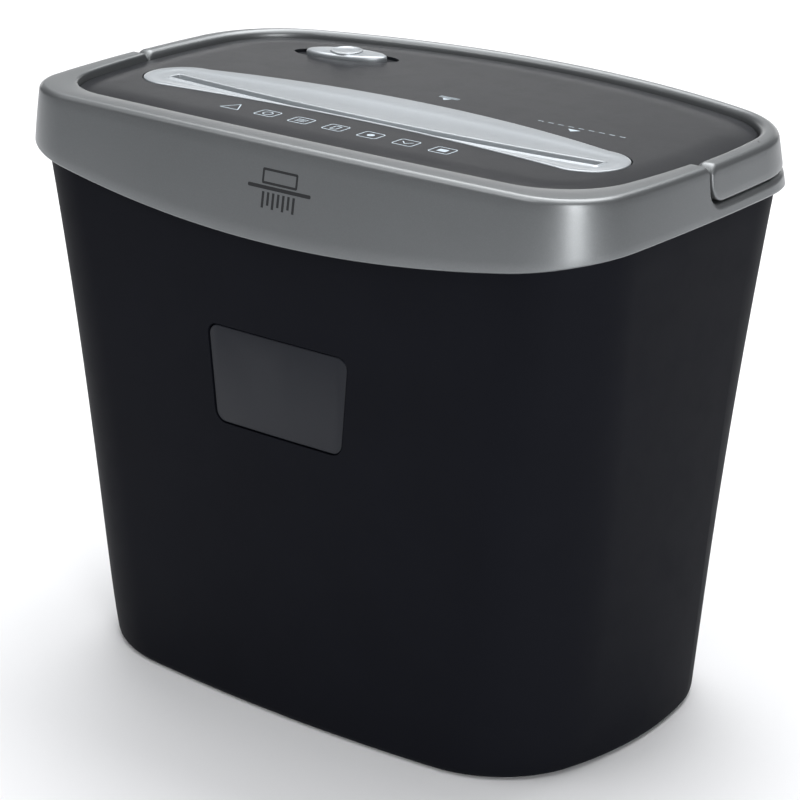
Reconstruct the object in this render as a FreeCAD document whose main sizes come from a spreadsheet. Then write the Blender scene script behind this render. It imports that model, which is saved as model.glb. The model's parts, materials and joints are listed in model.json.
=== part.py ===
import FreeCAD, Part
import math
import os
import re

import Sketcher
from FreeCAD import Placement, Rotation, Vector

# Paper shredder: a waste bin with a lift-off cutting head.
# Frame: +Z up, +X to the right of the front wall, front wall towards -Y.
# The origin is on the floor under the middle of the head.

doc = FreeCAD.newDocument("PaperShredder")

# ---------------------------------------------------------------- sizes (mm)

# Each oval is a closed D of eight tangent arcs, wider than it is deep.
# The skirt, rim and panel give their reaches as steps out from the mouth's.
OVAL_SIZES = ("half", "front", "back", "front_bow", "back_bow", "side_bow", "front_turn", "back_turn")
REACHES = ("half", "front", "back")
OVALS = {
    "foot": (133.0, 93.0, 80.0, 778.0, 420.0, 156.0, 54.0, 54.0),
    "mouth": (149.4, 99.6, 98.4, 3000.0, 345.0, 1500.0, 37.0, 50.0),
    "skirt": (6.2, 6.2, 7.4, 2316.0, 350.0, 990.0, 41.0, 54.0),
    "rim": (1.95, 0.1, -0.1, 4855.0, 324.0, 577.0, 30.5, 53.6),
    "panel": (-6.7, -12.35, -6.9, 4780.0, 323.0, 336.0, 34.4, 44.3),
}

# A drop is measured down, and a rise up, from the bin's mouth.
SIZES = {
    # bin
    "bin_height": 236.0,
    "bin_wall": 2.2,
    "bin_floor": 2.6,
    "bin_flare": 0.485,
    "foot_round": 4.0,
    # window in the bin's front wall
    "window_drop": 83.7,
    "window_height": 43.0,
    "window_top_half": 36.8,
    "window_foot_half": 33.0,
    "window_turn": 5.0,
    "window_gap": 0.5,
    "window_sink": 0.4,
    "window_lip": 3.0,
    "window_lip_thick": 1.2,
    # band and rim
    "skirt_drop": 18.5,
    "skirt_rise": 17.3,
    "rim_rise": 22.2,
    "band_wall": 2.2,
    "rim_thick": 2.5,
    "inner_wall_rise": 10.0,
    "shelf_thick": 2.2,
    # carry handle
    "pivot_y": -6.2,
    "handle_half_tall": 7.8,
    "handle_top_turn": 4.0,
    "handle_end_gap": 2.5,
    "handle_low_gap": 0.8,
    "handle_side_gap": 0.5,
    "pin_radius": 2.5,
    "pin_in_panel": 7.0,
    "pin_in_handle": 5.0,
    "pin_end_gap": 0.3,
    "pin_step": 0.1,
    "boss_radius": 5.5,
    "boss_long": 5.0,
    "running_gap": 0.05,
    # top panel
    "panel_sink": 2.0,
    "panel_thick": 2.5,
    "panel_foot_rise": 3.8,
    "panel_round": 1.8,
    "fit_gap": 0.15,
    # paper throat and its bezel
    "throat_y": -32.4,
    "throat_half": 111.0,
    "throat_wide": 6.0,
    "bezel_reach": 123.0,
    "bezel_shoulder": 105.0,
    "bezel_back": 30.9,
    "bezel_back_drop": 14.5,
    "bezel_front": 10.4,
    "bezel_front_drop": 7.7,
    "bezel_above": 0.3,
    "bezel_tall": 6.2,
    "throat_lip": 1.0,
    "bezel_dip": 3.1,
    "bezel_lip": 2.0,
    "bezel_lip_thick": 1.6,
    "trough_front": 23.6,
    "trough_back": 35.4,
    "guide_thick": 1.5,
    "guide_drop": 22.0,
    "guide_end_gap": 0.3,
    # lower housing
    "housing_drop": 78.0,
    "housing_wall": 2.2,
    "housing_gap": 2.7,
    "flange_thick": 2.5,
    "flange_step": 0.4,
    "outlet_front": 30.6,
    "outlet_back": 30.9,
    "outlet_half": 108.5,
    # side plates and rollers
    "plate_inner": 112.0,
    "plate_thick": 2.0,
    "plate_front": -76.0,
    "plate_back": 62.0,
    "plate_short_back": 16.0,
    "plate_low_drop": 72.0,
    "plate_high_drop": 7.0,
    "roller_drop": 40.0,
    "roller_gap": 26.0,
    "disc_radius": 15.0,
    "disc_clearance": 1.0,
    "disc_thick": 3.7,
    "disc_pitch": 8.0,
    "hex_flats": 12.0,
    "hex_gap": 0.1,
    "hex_turned": 6.78,
    "end_gap": 0.4,
    "journal_radius": 5.0,
    "bush_wall": 2.0,
    "bush_flange": 2.0,
    "bush_flange_thick": 0.9,
    "bush_proud": 0.6,
    "rod_radius": 3.0,
    "rod_front": 34.6,
    "rod_high": 12.0,
    "rod_low": 16.0,
    "rod_back": 34.4,
    "rod_back_low": 18.0,
    "nut_flats": 10.0,
    "nut_thick": 2.4,
    "comb_gap": 0.45,
    "comb_front": 39.0,
    "comb_spine": 4.0,
    "comb_margin": 5.0,
    "comb_rear_drop": 2.0,
    # gear train, as distances out from the middle of the object
    "wheel_one_near": 116.6,
    "wheel_one_far": 120.0,
    "wheel_two_near": 120.7,
    "wheel_two_far": 126.0,
    "wheel_three_near": 126.8,
    "wheel_three_far": 133.0,
    "cover_near": 134.0,
    "cover_thick": 1.5,
    "cover_side": 14.0,
    "cover_top": 10.0,
    "cover_step": 12.0,
    "cover_foot": 20.0,
    "axle_radius": 2.5,
    "sync_near": 116.6,
    "sync_far": 123.5,
    "output_module": 1.25,
    "middle_module": 1.0,
    "motor_module": 0.8,
    "backlash": 0.14,
    "second_idler_turn": 35.0,
    "first_idler_turn": 65.0,
    "motor_turn": 50.0,
    # motor
    "stack_left": 85.0,
    "stack_right": 50.0,
    "stack_wide": 54.0,
    "stack_tall": 44.0,
    "armature_radius": 13.0,
    "air_gap": 0.5,
    "motor_shaft_radius": 3.0,
    "motor_hole_radius": 6.5,
    "bolt_inset": 4.5,
    "bolt_head_tall": 2.2,
    "bracket_thick": 3.0,
    "bracket_post": 3.0,
    "bracket_hub": 7.0,
    "bracket_hub_long": 6.0,
    "rear_bracket": 30.0,
    "slot_slack": 0.3,
    "groove_wide": 1.6,
    "groove_deep": 5.0,
    "commutator_radius": 10.0,
    "commutator_long": 11.0,
    "riser_long": 1.5,
    "riser_out": 0.7,
    "brush_gap": 0.2,
    "brush_out": 9.0,
    "brush_half": 2.5,
    "brush_near": 1.0,
    "brush_far": 7.0,
    "brush_slack": 0.1,
    "holder_gap": 1.4,
    "holder_half": 4.0,
    "holder_long": 8.5,
    "holder_inset": 4.0,
    "fan_radius": 19.0,
    "fan_hub": 6.0,
    "fan_disc": 1.2,
    "blade_thick": 1.2,
    "blade_root": 5.0,
    "cutout_near": 8.0,
    "cutout_far": 24.0,
    "cutout_half": 4.5,
    "cutout_tall": 4.0,
    # electrics
    "board_left": 8.0,
    "board_long": 92.0,
    "board_front": 22.0,
    "board_deep": 48.0,
    "board_drop": 65.0,
    "board_thick": 1.6,
    "board_hole_inset": 4.0,
    "fuse_radius": 2.5,
    "fuse_long": 20.0,
    "fuse_right": 30.5,
    "fuse_back": 11.0,
    "fuse_rise": 5.0,
    "way_radius": 2.0,
    "way_right": 14.0,
    "way_pitch": 7.0,
    "way_back": 27.0,
    "way_long": 11.0,
    "way_rise": 5.0,
    # slide switch
    "switch_x": -77.0,
    "switch_y": 47.5,
    "switch_turn": 16.0,
    "recess_half": 25.6,
    "recess_wide": 18.6,
    "recess_deep": 1.4,
    "knob_half": 19.6,
    "knob_wide": 16.6,
    "knob_tall": 4.2,
    "knob_lift": 0.3,
    "knob_travel": 5.0,
    "stem_half": 3.0,
    "stem_slack": 0.2,
    "stem_deep": 7.0,
    "slot_end_gap": 2.0,
    "slot_side_gap": 0.5,
    "thumb_ball": 24.0,
    "thumb_deep": 1.1,
    "switch_end": 7.0,
    "switch_wide": 16.0,
    "switch_deep": 13.0,
    "pit_deep": 8.0,
    # cord inlet
    "gland_x": 0.0,
    "gland_drop": 6.0,
    "gland_radius": 5.0,
    "gland_flange": 2.5,
    "gland_flange_thick": 3.0,
    "gland_round": 1.0,
    "seat_gap": 0.6,
    "cord_bore": 3.2,
    "notch_half": 9.0,
    "notch_deep": 16.0,
    # screws and ears
    "screw_radius": 1.5,
    "screw_head": 3.0,
    "screw_head_tall": 2.2,
    "screw_head_round": 0.6,
    "post_radius": 3.6,
    "ear_inset": 21.0,
    "ear_long": 16.0,
    "ear_half": 5.5,
    "ear_front": 56.0,
    "ear_back": 40.0,
    "screw_long_above": 7.0,
    "plate_screw_long": 6.0,
    "board_screw_long": 6.0,
    "plate_foot_tall": 12.0,
    "foot_long": 14.0,
    "foot_wide": 12.0,
    "foot_thick": 2.0,
    "rod_thread": 2.4,
    "coil_out": 14.5,
    "coil_half": 15.0,
    "coil_wide": 6.0,
    "coil_tall": 7.0,
    "coil_end": 9.0,
    "fan_left": 25.0,
    "fan_right": 14.0,
    "gland_long": 21.0,
    "gland_seat": 6.0,
    "lever_back": 16.0,
    "lever_drop": 4.0,
    "lever_half": 2.0,
    "lever_pin": 1.5,
    "lever_finger": 20.0,
    "lever_tail": 6.0,
    "lever_thick": 3.0,
    "lever_side_gap": 1.0,
    "lever_gap_low": 20.0,
    "lever_gap_high": 4.0,
    "cheek_out": 3.0,
    "cheek_thick": 3.0,
    "cheek_half": 4.0,
    "start_case_half": 3.0,
    "start_case_near": 5.0,
    "start_case_long": 20.0,
    "start_case_rise": 4.5,
    "start_case_tall": 10.0,
    "plunger_front": 40.0,
    "plunger_half": 4.0,
    "plunger_tall": 6.0,
    "plunger_near": 0.8,
    "plunger_far": 3.6,
    "plunger_slack": 0.2,
    "interlock_near": 0.4,
    "interlock_far": 6.0,
    "interlock_tall": 7.0,
    "interlock_half": 10.0,
    # cutting tools run past a casing by cut_over and past a face by cut_past
    "cut_over": 20.0,
    "cut_past": 1.0,
    # ribs, posts and feet run this far into the floor they stand on
    "rooted": 0.5,
}

# Cases on the circuit board: steps right and back from its front left corner, then
# length, depth and height.
BOARD_CASES = {
    "relay": (62.0, 14.0, 19.0, 15.5, 15.5),
    "capacitor": (30.0, 30.0, 26.0, 10.0, 17.0),
    "terminals": (10.0, 28.0, 15.0, 9.0, 11.0),
    "left_clip": (30.0, 8.0, 3.0, 6.0, 8.0),
    "right_clip": (48.0, 8.0, 3.0, 6.0, 8.0),
}

# The three ovals whose reaches are steps out from the bin's mouth.
STEPPED = ("skirt", "rim", "panel")

TEETH = {
    "sync": 20,
    "output": 36,
    "small": 12,
    "middle": 44,
    "motor": 60,
}
DISC_COUNT = 27
COOLING_BLADES = 8
ARMATURE_GROOVES = 12

# Cutting points on each disc: how deep the hook is as a share of the radius, the turn
# its ramp takes, and the turn left open before the next hook.
HOOKS = 3
HOOK_SHARE = 0.14
HOOK_RAMP = 0.28
HOOK_OPEN = 0.5

# A gear's root is cut this far inside its pitch circle, in modules.
ROOT_DEPTH = 1.25
PRESSURE = math.radians(25)

# Heights that several pieces share.
RIM_TOP = "(bin_height + rim_rise)"
SKIRT_LOW = "(bin_height - skirt_drop)"
PANEL_TOP = "(bin_height + rim_rise - panel_sink)"
PANEL_LOW = "(bin_height + panel_foot_rise)"
PIVOT_Z = "(bin_height + rim_rise - handle_half_tall)"
SHELF_TOP = "(bin_height + rim_rise - 2 * handle_half_tall - handle_low_gap)"
FLANGE_TOP = "(bin_height + flange_thick)"
BEZEL_TOP = "(bin_height + rim_rise - panel_sink + bezel_above)"
BEZEL_LOW = "(bin_height + rim_rise - panel_sink + bezel_above - bezel_tall)"
HOUSING_LOW = "(bin_height - housing_drop)"
HOUSING_FLOOR = "(bin_height - housing_drop + housing_wall)"
ROLLER_Z = "(bin_height - roller_drop)"
PLATE_LOW = "(bin_height - plate_low_drop)"
PLATE_HIGH = "(bin_height - plate_high_drop)"
BOARD_LOW = "(bin_height - board_drop)"
GLAND_Z = "(bin_height - gland_drop)"

# The two roller axes stand either side of the throat.
FRONT_Y = "(throat_y - roller_gap / 2)"
REAR_Y = "(throat_y + roller_gap / 2)"
SPACER_RADIUS = "(roller_gap - disc_radius - disc_clearance)"

sheet = doc.addObject("Spreadsheet::Sheet", "sizes")


def fill_sheet():
    """Write every size in its own named cell."""
    row = 1
    for oval, values in OVALS.items():
        for size, value in zip(OVAL_SIZES, values):
            SIZES[f"{oval}_{size}"] = value
    for name, value in SIZES.items():
        sheet.set(f"A{row}", name)
        sheet.set(f"B{row}", str(value))
        sheet.setAlias(f"B{row}", name)
        row += 1
    doc.recompute()


fill_sheet()

WORD = re.compile(r"[a-z][a-z_]+")


def in_sheet(rule):
    """Point each size's name in a rule at its cell."""

    def cell(word):
        return f"sizes.{word.group()}" if word.group() in SIZES else word.group()

    return WORD.sub(cell, str(rule))


def size(rule):
    """The number that a rule gives with the sheet's present values."""
    return float(sheet.evalExpression(in_sheet(rule)))


def bind(thing, field, rule):
    thing.setExpression(field, in_sheet(rule))
    return thing


def place(thing, x="0", y="0", z="0"):
    for axis, rule in zip("xyz", (x, y, z)):
        bind(thing, f"Placement.Base.{axis}", rule)
    return thing


TURNS = {
    "x": Rotation(Vector(0, 1, 0), 90),
    "y": Rotation(Vector(1, 0, 0), -90),
    "z": Rotation(),
}

# ------------------------------------------------------------ plain solids


def block(name, x, y, z):
    """A box between two rules on each axis."""
    thing = doc.addObject("Part::Box", name)
    for field, (low, high) in zip(("Length", "Width", "Height"), (x, y, z)):
        bind(thing, field, f"({high}) - ({low})")
    return place(thing, x[0], y[0], z[0])


def rod(name, axis, start, length, radius):
    """A round bar along one axis, from its start point."""
    thing = doc.addObject("Part::Cylinder", name)
    bind(thing, "Radius", radius)
    bind(thing, "Height", length)
    thing.Placement = Placement(Vector(), TURNS[axis])
    return place(thing, *start)


def hex_bar(name, start, length, flats):
    """A hexagonal bar along X."""
    thing = doc.addObject("Part::Prism", name)
    thing.Polygon = 6
    bind(thing, "Circumradius", f"({flats}) / sqrt(3)")
    bind(thing, "Height", length)
    thing.Placement = Placement(Vector(), TURNS["x"])
    return place(thing, *start)


def fuse(name, *parts):
    thing = doc.addObject("Part::MultiFuse", name)
    thing.Shapes = list(parts)
    return thing


def cut(name, base, *tools):
    thing = doc.addObject("Part::Cut", name)
    thing.Base = base
    thing.Tool = tools[0] if len(tools) == 1 else fuse(f"{name}_tools", *tools)
    return thing


def common(name, *parts):
    thing = doc.addObject("Part::MultiCommon", name)
    thing.Shapes = list(parts)
    return thing


def group(name, *parts):
    """Separate solids kept in one node."""
    thing = doc.addObject("Part::Compound", name)
    thing.Links = list(parts)
    return thing


def shaped(name, shape):
    """A piece whose shape is worked out here from the sheet's sizes."""
    thing = doc.addObject("Part::Feature", name)
    thing.Shape = shape
    thing.Placement = Placement()
    return thing


# -------------------------------------------------------------- oval shells


def oval_rules(oval, inset="0"):
    """Rules for the eight sizes of an oval drawn inside the named one."""
    rules = {}
    for part in OVAL_SIZES:
        base = f"mouth_{part} + " if oval in STEPPED and part in REACHES else ""
        rules[part] = f"({base}{oval}_{part} - ({inset}))"
    return rules


def bin_rules(z, inset="0"):
    """The bin's outline at a height: it flares faster near the mouth."""
    part_way = f"(({z}) / bin_height)"
    share = f"({part_way} + bin_flare * ({part_way} * {part_way} - {part_way}))"
    return {
        part: f"(foot_{part} + (mouth_{part} - foot_{part}) * {share} - ({inset}))"
        for part in OVAL_SIZES
    }


def band_rules(z, inset="0"):
    """The band's outline at a height between the skirt's foot and the rim."""
    share = f"((({z}) - {SKIRT_LOW}) / (rim_rise + skirt_drop))"
    foot = oval_rules("skirt")
    top = oval_rules("rim")
    return {
        part: f"({foot[part]} + ({top[part]} - {foot[part]}) * {share} - ({inset}))"
        for part in OVAL_SIZES
    }


def corner_centre(reach, bow, half, side_bow, turn):
    """Centre of the corner arc that touches both the end arc and the side arc."""
    end_centre = Vector(0, reach - bow, 0)
    side_centre = Vector(half - side_bow, 0, 0)
    end_radius = bow - turn
    side_radius = side_bow - turn
    span = side_centre - end_centre
    gap = span.Length
    along = (gap * gap + end_radius * end_radius - side_radius * side_radius) / (2 * gap)
    across = math.sqrt(end_radius * end_radius - along * along)
    forward = span / gap
    sideways = Vector(-forward.y, forward.x, 0)
    options = [end_centre + forward * along + sideways * (across * sign) for sign in (1, -1)]
    return max(options, key=lambda point: min(point.x, point.y))


def arc_between(centre, radius, first, last):
    circle = Part.Circle(Vector(centre), Vector(0, 0, 1), radius)
    return Part.ArcOfCircle(circle, first, last)


def angle_of(centre, point):
    turn = math.atan2(point.y - centre.y, point.x - centre.x)
    return turn % (2 * math.pi)


def oval_arcs(value):
    """The eight arcs, anticlockwise from the right side."""
    side = (value["half"], value["side_bow"])
    back = corner_centre(value["back"], value["back_bow"], *side, value["back_turn"])
    front = corner_centre(value["front"], value["front_bow"], *side, value["front_turn"])
    right_centre = Vector(value["half"] - value["side_bow"], 0, 0)
    back_centre = Vector(0, value["back"] - value["back_bow"], 0)
    front_centre = Vector(0, value["front_bow"] - value["front"], 0)
    front = Vector(front.x, -front.y, 0)
    side_back = angle_of(right_centre, back)
    side_front = angle_of(right_centre, front) - 2 * math.pi
    end_back = angle_of(back_centre, back)
    end_front = angle_of(front_centre, front) - 2 * math.pi
    half_turn = math.pi
    back_left = Vector(-back.x, back.y, 0)
    front_left = Vector(-front.x, front.y, 0)
    left_centre = Vector(-right_centre.x, 0, 0)
    return [
        arc_between(right_centre, value["side_bow"], side_front, side_back),
        arc_between(back, value["back_turn"], side_back, end_back),
        arc_between(back_centre, value["back_bow"], end_back, half_turn - end_back),
        arc_between(back_left, value["back_turn"], half_turn - end_back, half_turn - side_back),
        arc_between(left_centre, value["side_bow"], half_turn - side_back, half_turn - side_front),
        arc_between(front_left, value["front_turn"], half_turn - side_front, half_turn - end_front),
        arc_between(front_centre, value["front_bow"], half_turn - end_front, 2 * half_turn + end_front),
        arc_between(front, value["front_turn"], 2 * half_turn + end_front, 2 * half_turn + side_front),
    ]


def oval_sketch(name, rules, z, body=None):
    """A fully constrained oval at a height, in a body or on its own."""
    if body is None:
        sketch = doc.addObject("Sketcher::SketchObject", name)
        place(sketch, z=z)
    else:
        sketch = body.newObject("Sketcher::SketchObject", name)
        sketch.AttachmentSupport = (origin_plane(body, "XY_Plane"), [""])
        sketch.MapMode = "FlatFace"
        bind(sketch, "AttachmentOffset.Base.z", z)
    value = {part: size(rule) for part, rule in rules.items()}
    sketch.addGeometry(oval_arcs(value), False)
    start, end, middle = 1, 2, 3
    origin, x_axis, y_axis = (-1, 1), -1, -2
    side, back, left, front = 0, 2, 4, 6
    limits = []
    for arc in range(8):
        limits.append(Sketcher.Constraint("Tangent", arc, end, (arc + 1) % 8, start))
    for arc in (side, left):
        limits.append(Sketcher.Constraint("PointOnObject", arc, middle, x_axis))
    for arc in (back, front):
        limits.append(Sketcher.Constraint("PointOnObject", arc, middle, y_axis))
    sketch.addConstraint(limits)

    def hold(rule, kind, *where):
        index = sketch.addConstraint(Sketcher.Constraint(kind, *where, size(rule)))
        bind(sketch, f"Constraints[{index}]", rule)

    radii = ("side_bow", "back_turn", "back_bow", "back_turn")
    radii += ("side_bow", "front_turn", "front_bow", "front_turn")
    for arc, part in enumerate(radii):
        hold(rules[part], "Radius", arc)
    hold(f"{rules['side_bow']} - {rules['half']}", "DistanceX", side, middle, *origin)
    hold(f"{rules['side_bow']} - {rules['half']}", "DistanceX", *origin, left, middle)
    hold(f"{rules['back_bow']} - {rules['back']}", "DistanceY", back, middle, *origin)
    hold(f"{rules['front_bow']} - {rules['front']}", "DistanceY", *origin, front, middle)
    return sketch


def oval_loft(name, rules_at, heights):
    """A solid through ovals at several heights."""
    thing = doc.addObject("Part::Loft", name)
    thing.Sections = [oval_sketch(f"{name}_at_{i}", rules_at(z), z) for i, z in enumerate(heights)]
    thing.Solid = True
    thing.Ruled = len(heights) == 2
    return thing


def oval_slab(name, rules, low, high):
    """An oval carried straight up between two heights."""
    thing = doc.addObject("Part::Extrusion", name)
    thing.Base = oval_sketch(f"{name}_outline", rules, low)
    thing.DirMode = "Custom"
    thing.Dir = Vector(0, 0, 1)
    thing.Solid = True
    bind(thing, "LengthFwd", f"({high}) - ({low})")
    return thing


# -------------------------------------------------- bodies with sketches


def origin_plane(body, role):
    return next(feature for feature in body.Origin.OriginFeatures if feature.Role == role)


def body_named(name):
    return doc.addObject("PartDesign::Body", name)


def sketch_on(body, name, role="XY_Plane", offset="0"):
    sketch = body.newObject("Sketcher::SketchObject", name)
    sketch.AttachmentSupport = (origin_plane(body, role), [""])
    sketch.MapMode = "FlatFace"
    bind(sketch, "AttachmentOffset.Base.z", offset)
    return sketch


def hold_point(sketch, geometry, end, across, up):
    """Tie one point of a sketch to two rules."""
    for kind, axis, rule in (("DistanceX", -2, across), ("DistanceY", -1, up)):
        value = size(rule)
        if rule == "0":
            sketch.addConstraint(Sketcher.Constraint("PointOnObject", geometry, end, axis))
        elif value < 0:
            index = sketch.addConstraint(Sketcher.Constraint(kind, geometry, end, -1, 1, -value))
            bind(sketch, f"Constraints[{index}]", f"-({rule})")
        else:
            index = sketch.addConstraint(Sketcher.Constraint(kind, -1, 1, geometry, end, value))
            bind(sketch, f"Constraints[{index}]", rule)


def draw_outline(sketch, corners):
    """A closed outline of straight lines through corners given as rules."""
    points = [Vector(size(across), size(up), 0) for across, up in corners]
    first = sketch.GeometryCount
    count = len(points)
    for i in range(count):
        sketch.addGeometry(Part.LineSegment(points[i], points[(i + 1) % count]), False)
    for i in range(count):
        follower = first + (i + 1) % count
        sketch.addConstraint(Sketcher.Constraint("Coincident", first + i, 2, follower, 1))
    for i, (across, up) in enumerate(corners):
        hold_point(sketch, first + i, 1, across, up)


def draw_circle(sketch, across, up, radius):
    centre = Vector(size(across), size(up), 0)
    index = sketch.addGeometry(Part.Circle(centre, Vector(0, 0, 1), size(radius)), False)
    hold_point(sketch, index, 3, across, up)
    limit = sketch.addConstraint(Sketcher.Constraint("Radius", index, size(radius)))
    bind(sketch, f"Constraints[{limit}]", radius)


def pad(body, sketch, length, backwards=False):
    feature = body.newObject("PartDesign::Pad", f"{sketch.Name}_pad")
    feature.Profile = sketch
    bind(feature, "Length", length)
    feature.Reversed = backwards
    return feature


def turned(name, profile, axis, start=("0", "0", "0")):
    """A body of revolution: the profile is (distance along the axis, radius)."""
    body = body_named(name)
    sketch = sketch_on(body, f"{name}_profile", "XY_Plane")
    draw_outline(sketch, profile)
    spin = body.newObject("PartDesign::Revolution", f"{name}_spin")
    spin.Profile = sketch
    spin.ReferenceAxis = (sketch, ["H_Axis"])
    spin.Angle = 360
    body.Placement = Placement(Vector(), AXIS_TURNS[axis])
    return place(body, *start)


# A turned body's own axis is X; these turn it to the axis that is asked for.
AXIS_TURNS = {
    "x": Rotation(),
    "y": Rotation(Vector(0, 0, 1), 90),
    "z": Rotation(Vector(0, 1, 0), -90),
    "-z": Rotation(Vector(0, 1, 0), 90),
    "-x": Rotation(Vector(0, 0, 1), 180),
}


def plate(name, role, offset, thick, corners, holes=(), windows=()):
    """A flat plate drawn on one plane, with round holes and cut windows."""
    body = body_named(name)
    sketch = sketch_on(body, f"{name}_outline", role, offset)
    draw_outline(sketch, corners)
    for across, up, radius in holes:
        draw_circle(sketch, across, up, radius)
    for window in windows:
        draw_outline(sketch, window)
    pad(body, sketch, thick)
    return body


# -------------------------------------------------------------------- nodes

NODES = []


def node(thing, label):
    """Name a finished piece, which is written to its own file."""
    thing.Label = label
    NODES.append(thing)
    return thing


def mirrored(rule):
    """Bounds the same distance either side of the middle plane."""
    return (f"-({rule})", rule)


def round_body(body, feature, radius, chosen):
    """Round the edges of a body's feature that a test picks."""
    doc.recompute()
    edges = feature.Shape.Edges
    names = [f"Edge{i + 1}" for i, edge in enumerate(edges) if chosen(edge)]
    rounding = body.newObject("PartDesign::Fillet", f"{feature.Name}_round")
    rounding.Base = (feature, names)
    bind(rounding, "Radius", radius)
    return rounding


def round_solid(name, base, radius, chosen):
    """Round the edges of a finished solid that a test picks."""
    doc.recompute()
    edges = base.Shape.Edges
    value = size(radius)
    thing = doc.addObject("Part::Fillet", name)
    thing.Base = base
    thing.Edges = [(i + 1, value, value) for i, edge in enumerate(edges) if chosen(edge)]
    return thing


# ---------------------------------------------------------------------- bin


def window_prism(name, grow):
    """The window's outline, carried through the front wall."""
    body = body_named(name)
    sketch = sketch_on(body, f"{name}_outline", "XZ_Plane", "mouth_front / 2")
    top = f"bin_height - window_drop + window_height / 2 + ({grow})"
    foot = f"bin_height - window_drop - window_height / 2 - ({grow})"
    top_half = f"window_top_half + ({grow})"
    foot_half = f"window_foot_half + ({grow})"
    draw_outline(sketch, [
        (f"-({foot_half})", foot),
        (foot_half, foot),
        (top_half, top),
        (f"-({top_half})", top),
    ])
    solid = pad(body, sketch, "mouth_front")
    round_body(body, solid, f"window_turn + ({grow})", lambda edge: runs_along(edge, Vector(0, 1, 0)))
    return body


def runs_along(edge, direction):
    if not isinstance(edge.Curve, Part.Line):
        return False
    return abs(abs(edge.Curve.Direction.dot(direction)) - 1) < 1e-6


def make_bin():
    heights = ("0", "bin_height / 2", "bin_height")
    outer = oval_loft("bin_outer", bin_rules, heights)
    rounded = round_solid("bin_rounded", outer, "foot_round", lambda edge: edge.BoundBox.ZMax < 1e-3)
    inner = oval_loft("bin_inner", lambda z: bin_rules(z, "bin_wall"), ("bin_floor", *heights[1:]))
    notch = block(
        "cord_notch",
        ("gland_x - notch_half", "gland_x + notch_half"),
        ("mouth_back / 2", "mouth_back + cut_over"),
        ("bin_height - notch_deep", "bin_height + cut_past"),
    )
    hole = window_prism("window_hole", "window_gap")
    node(cut("bin_shell", rounded, inner, notch, hole), "bin")
    face = oval_loft("window_face", lambda z: bin_rules(z, "window_sink"), heights)
    wall_line = oval_loft("window_wall_line", lambda z: bin_rules(z, "bin_wall + running_gap"), heights)
    core = oval_loft("window_core", lambda z: bin_rules(z, "bin_wall + window_lip_thick"), heights)
    pane = common("window_pane", window_prism("pane_prism", "0"), cut("window_skin", face, core))
    lip = common("window_lip", window_prism("lip_prism", "window_lip"), cut("lip_skin", wall_line, core))
    node(fuse("window", pane, lip), "bin_window")


# ----------------------------------------------------- band, rim and handle


def make_band():
    outer = oval_loft("band_outer", band_rules, (SKIRT_LOW, RIM_TOP))
    inner = oval_loft(
        "band_inner",
        lambda z: band_rules(z, "band_wall"),
        (f"{SKIRT_LOW} - cut_past", f"{RIM_TOP} - rim_thick"),
    )
    opening = oval_slab("panel_opening", oval_rules("panel", "-fit_gap"), SKIRT_LOW, f"{RIM_TOP} + cut_past")
    collar = oval_slab(
        "collar",
        oval_rules("panel", "-(fit_gap + band_wall)"),
        "bin_height + inner_wall_rise",
        f"{RIM_TOP} - rim_thick / 2",
    )
    shelf_box = block(
        "shelf_box",
        mirrored("mouth_half + cut_over"),
        ("pivot_y - handle_half_tall - handle_end_gap", "mouth_back + cut_over"),
        (f"{SHELF_TOP} - shelf_thick", SHELF_TOP),
    )
    shelf = common("shelf", outer, shelf_box)
    recess = plate(
        "handle_recess",
        "YZ_Plane",
        "-(mouth_half + cut_over)",
        "2 * (mouth_half + cut_over)",
        [
            ("pivot_y - handle_half_tall - handle_end_gap", SHELF_TOP),
            ("mouth_back + cut_over", SHELF_TOP),
            ("mouth_back + cut_over", f"{RIM_TOP} + cut_over"),
            ("pivot_y - handle_half_tall - handle_end_gap", f"{RIM_TOP} + cut_over"),
        ],
    )
    front_y = size("pivot_y - handle_half_tall - handle_end_gap")
    low_z = size(SHELF_TOP)
    round_body(
        recess,
        recess.Tip,
        "handle_half_tall + handle_low_gap",
        lambda edge: runs_along(edge, Vector(1, 0, 0))
        and abs(edge.CenterOfMass.y - front_y) < 1e-3
        and abs(edge.CenterOfMass.z - low_z) < 1e-3,
    )
    curve_radius = "((mouth_half * mouth_half + skirt_rise * skirt_rise) / (2 * skirt_rise))"
    curve = rod(
        "skirt_curve",
        "y",
        ("0", "-(mouth_front + 2 * cut_over)", f"{SKIRT_LOW} + {curve_radius}"),
        "mouth_front + mouth_back + 4 * cut_over",
        curve_radius,
    )
    seat_boss = rod(
        "seat_boss", "y", ("gland_x", "mouth_back + seat_gap", GLAND_Z), "mouth_back", "notch_half - seat_gap")
    seat = common("gland_seat", seat_boss, outer)
    hollow = fuse("band_walls", cut("band_shell", outer, inner), collar, shelf, seat)
    gland_hole = rod(
        "band_gland_hole", "y", ("gland_x", "mouth_back / 2", GLAND_Z), "mouth_back", "gland_radius")
    counterbore = rod(
        "gland_counterbore",
        "y",
        ("gland_x", f"{GLAND_INNER} + gland_long - gland_flange_thick", GLAND_Z),
        "cut_over",
        "gland_radius + gland_flange + fit_gap",
    )
    trimmed = common("band_curved", cut("band_open", hollow, opening, recess, gland_hole, counterbore), curve)
    node(trimmed, "trim_band")
    make_handle(outer)


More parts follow.
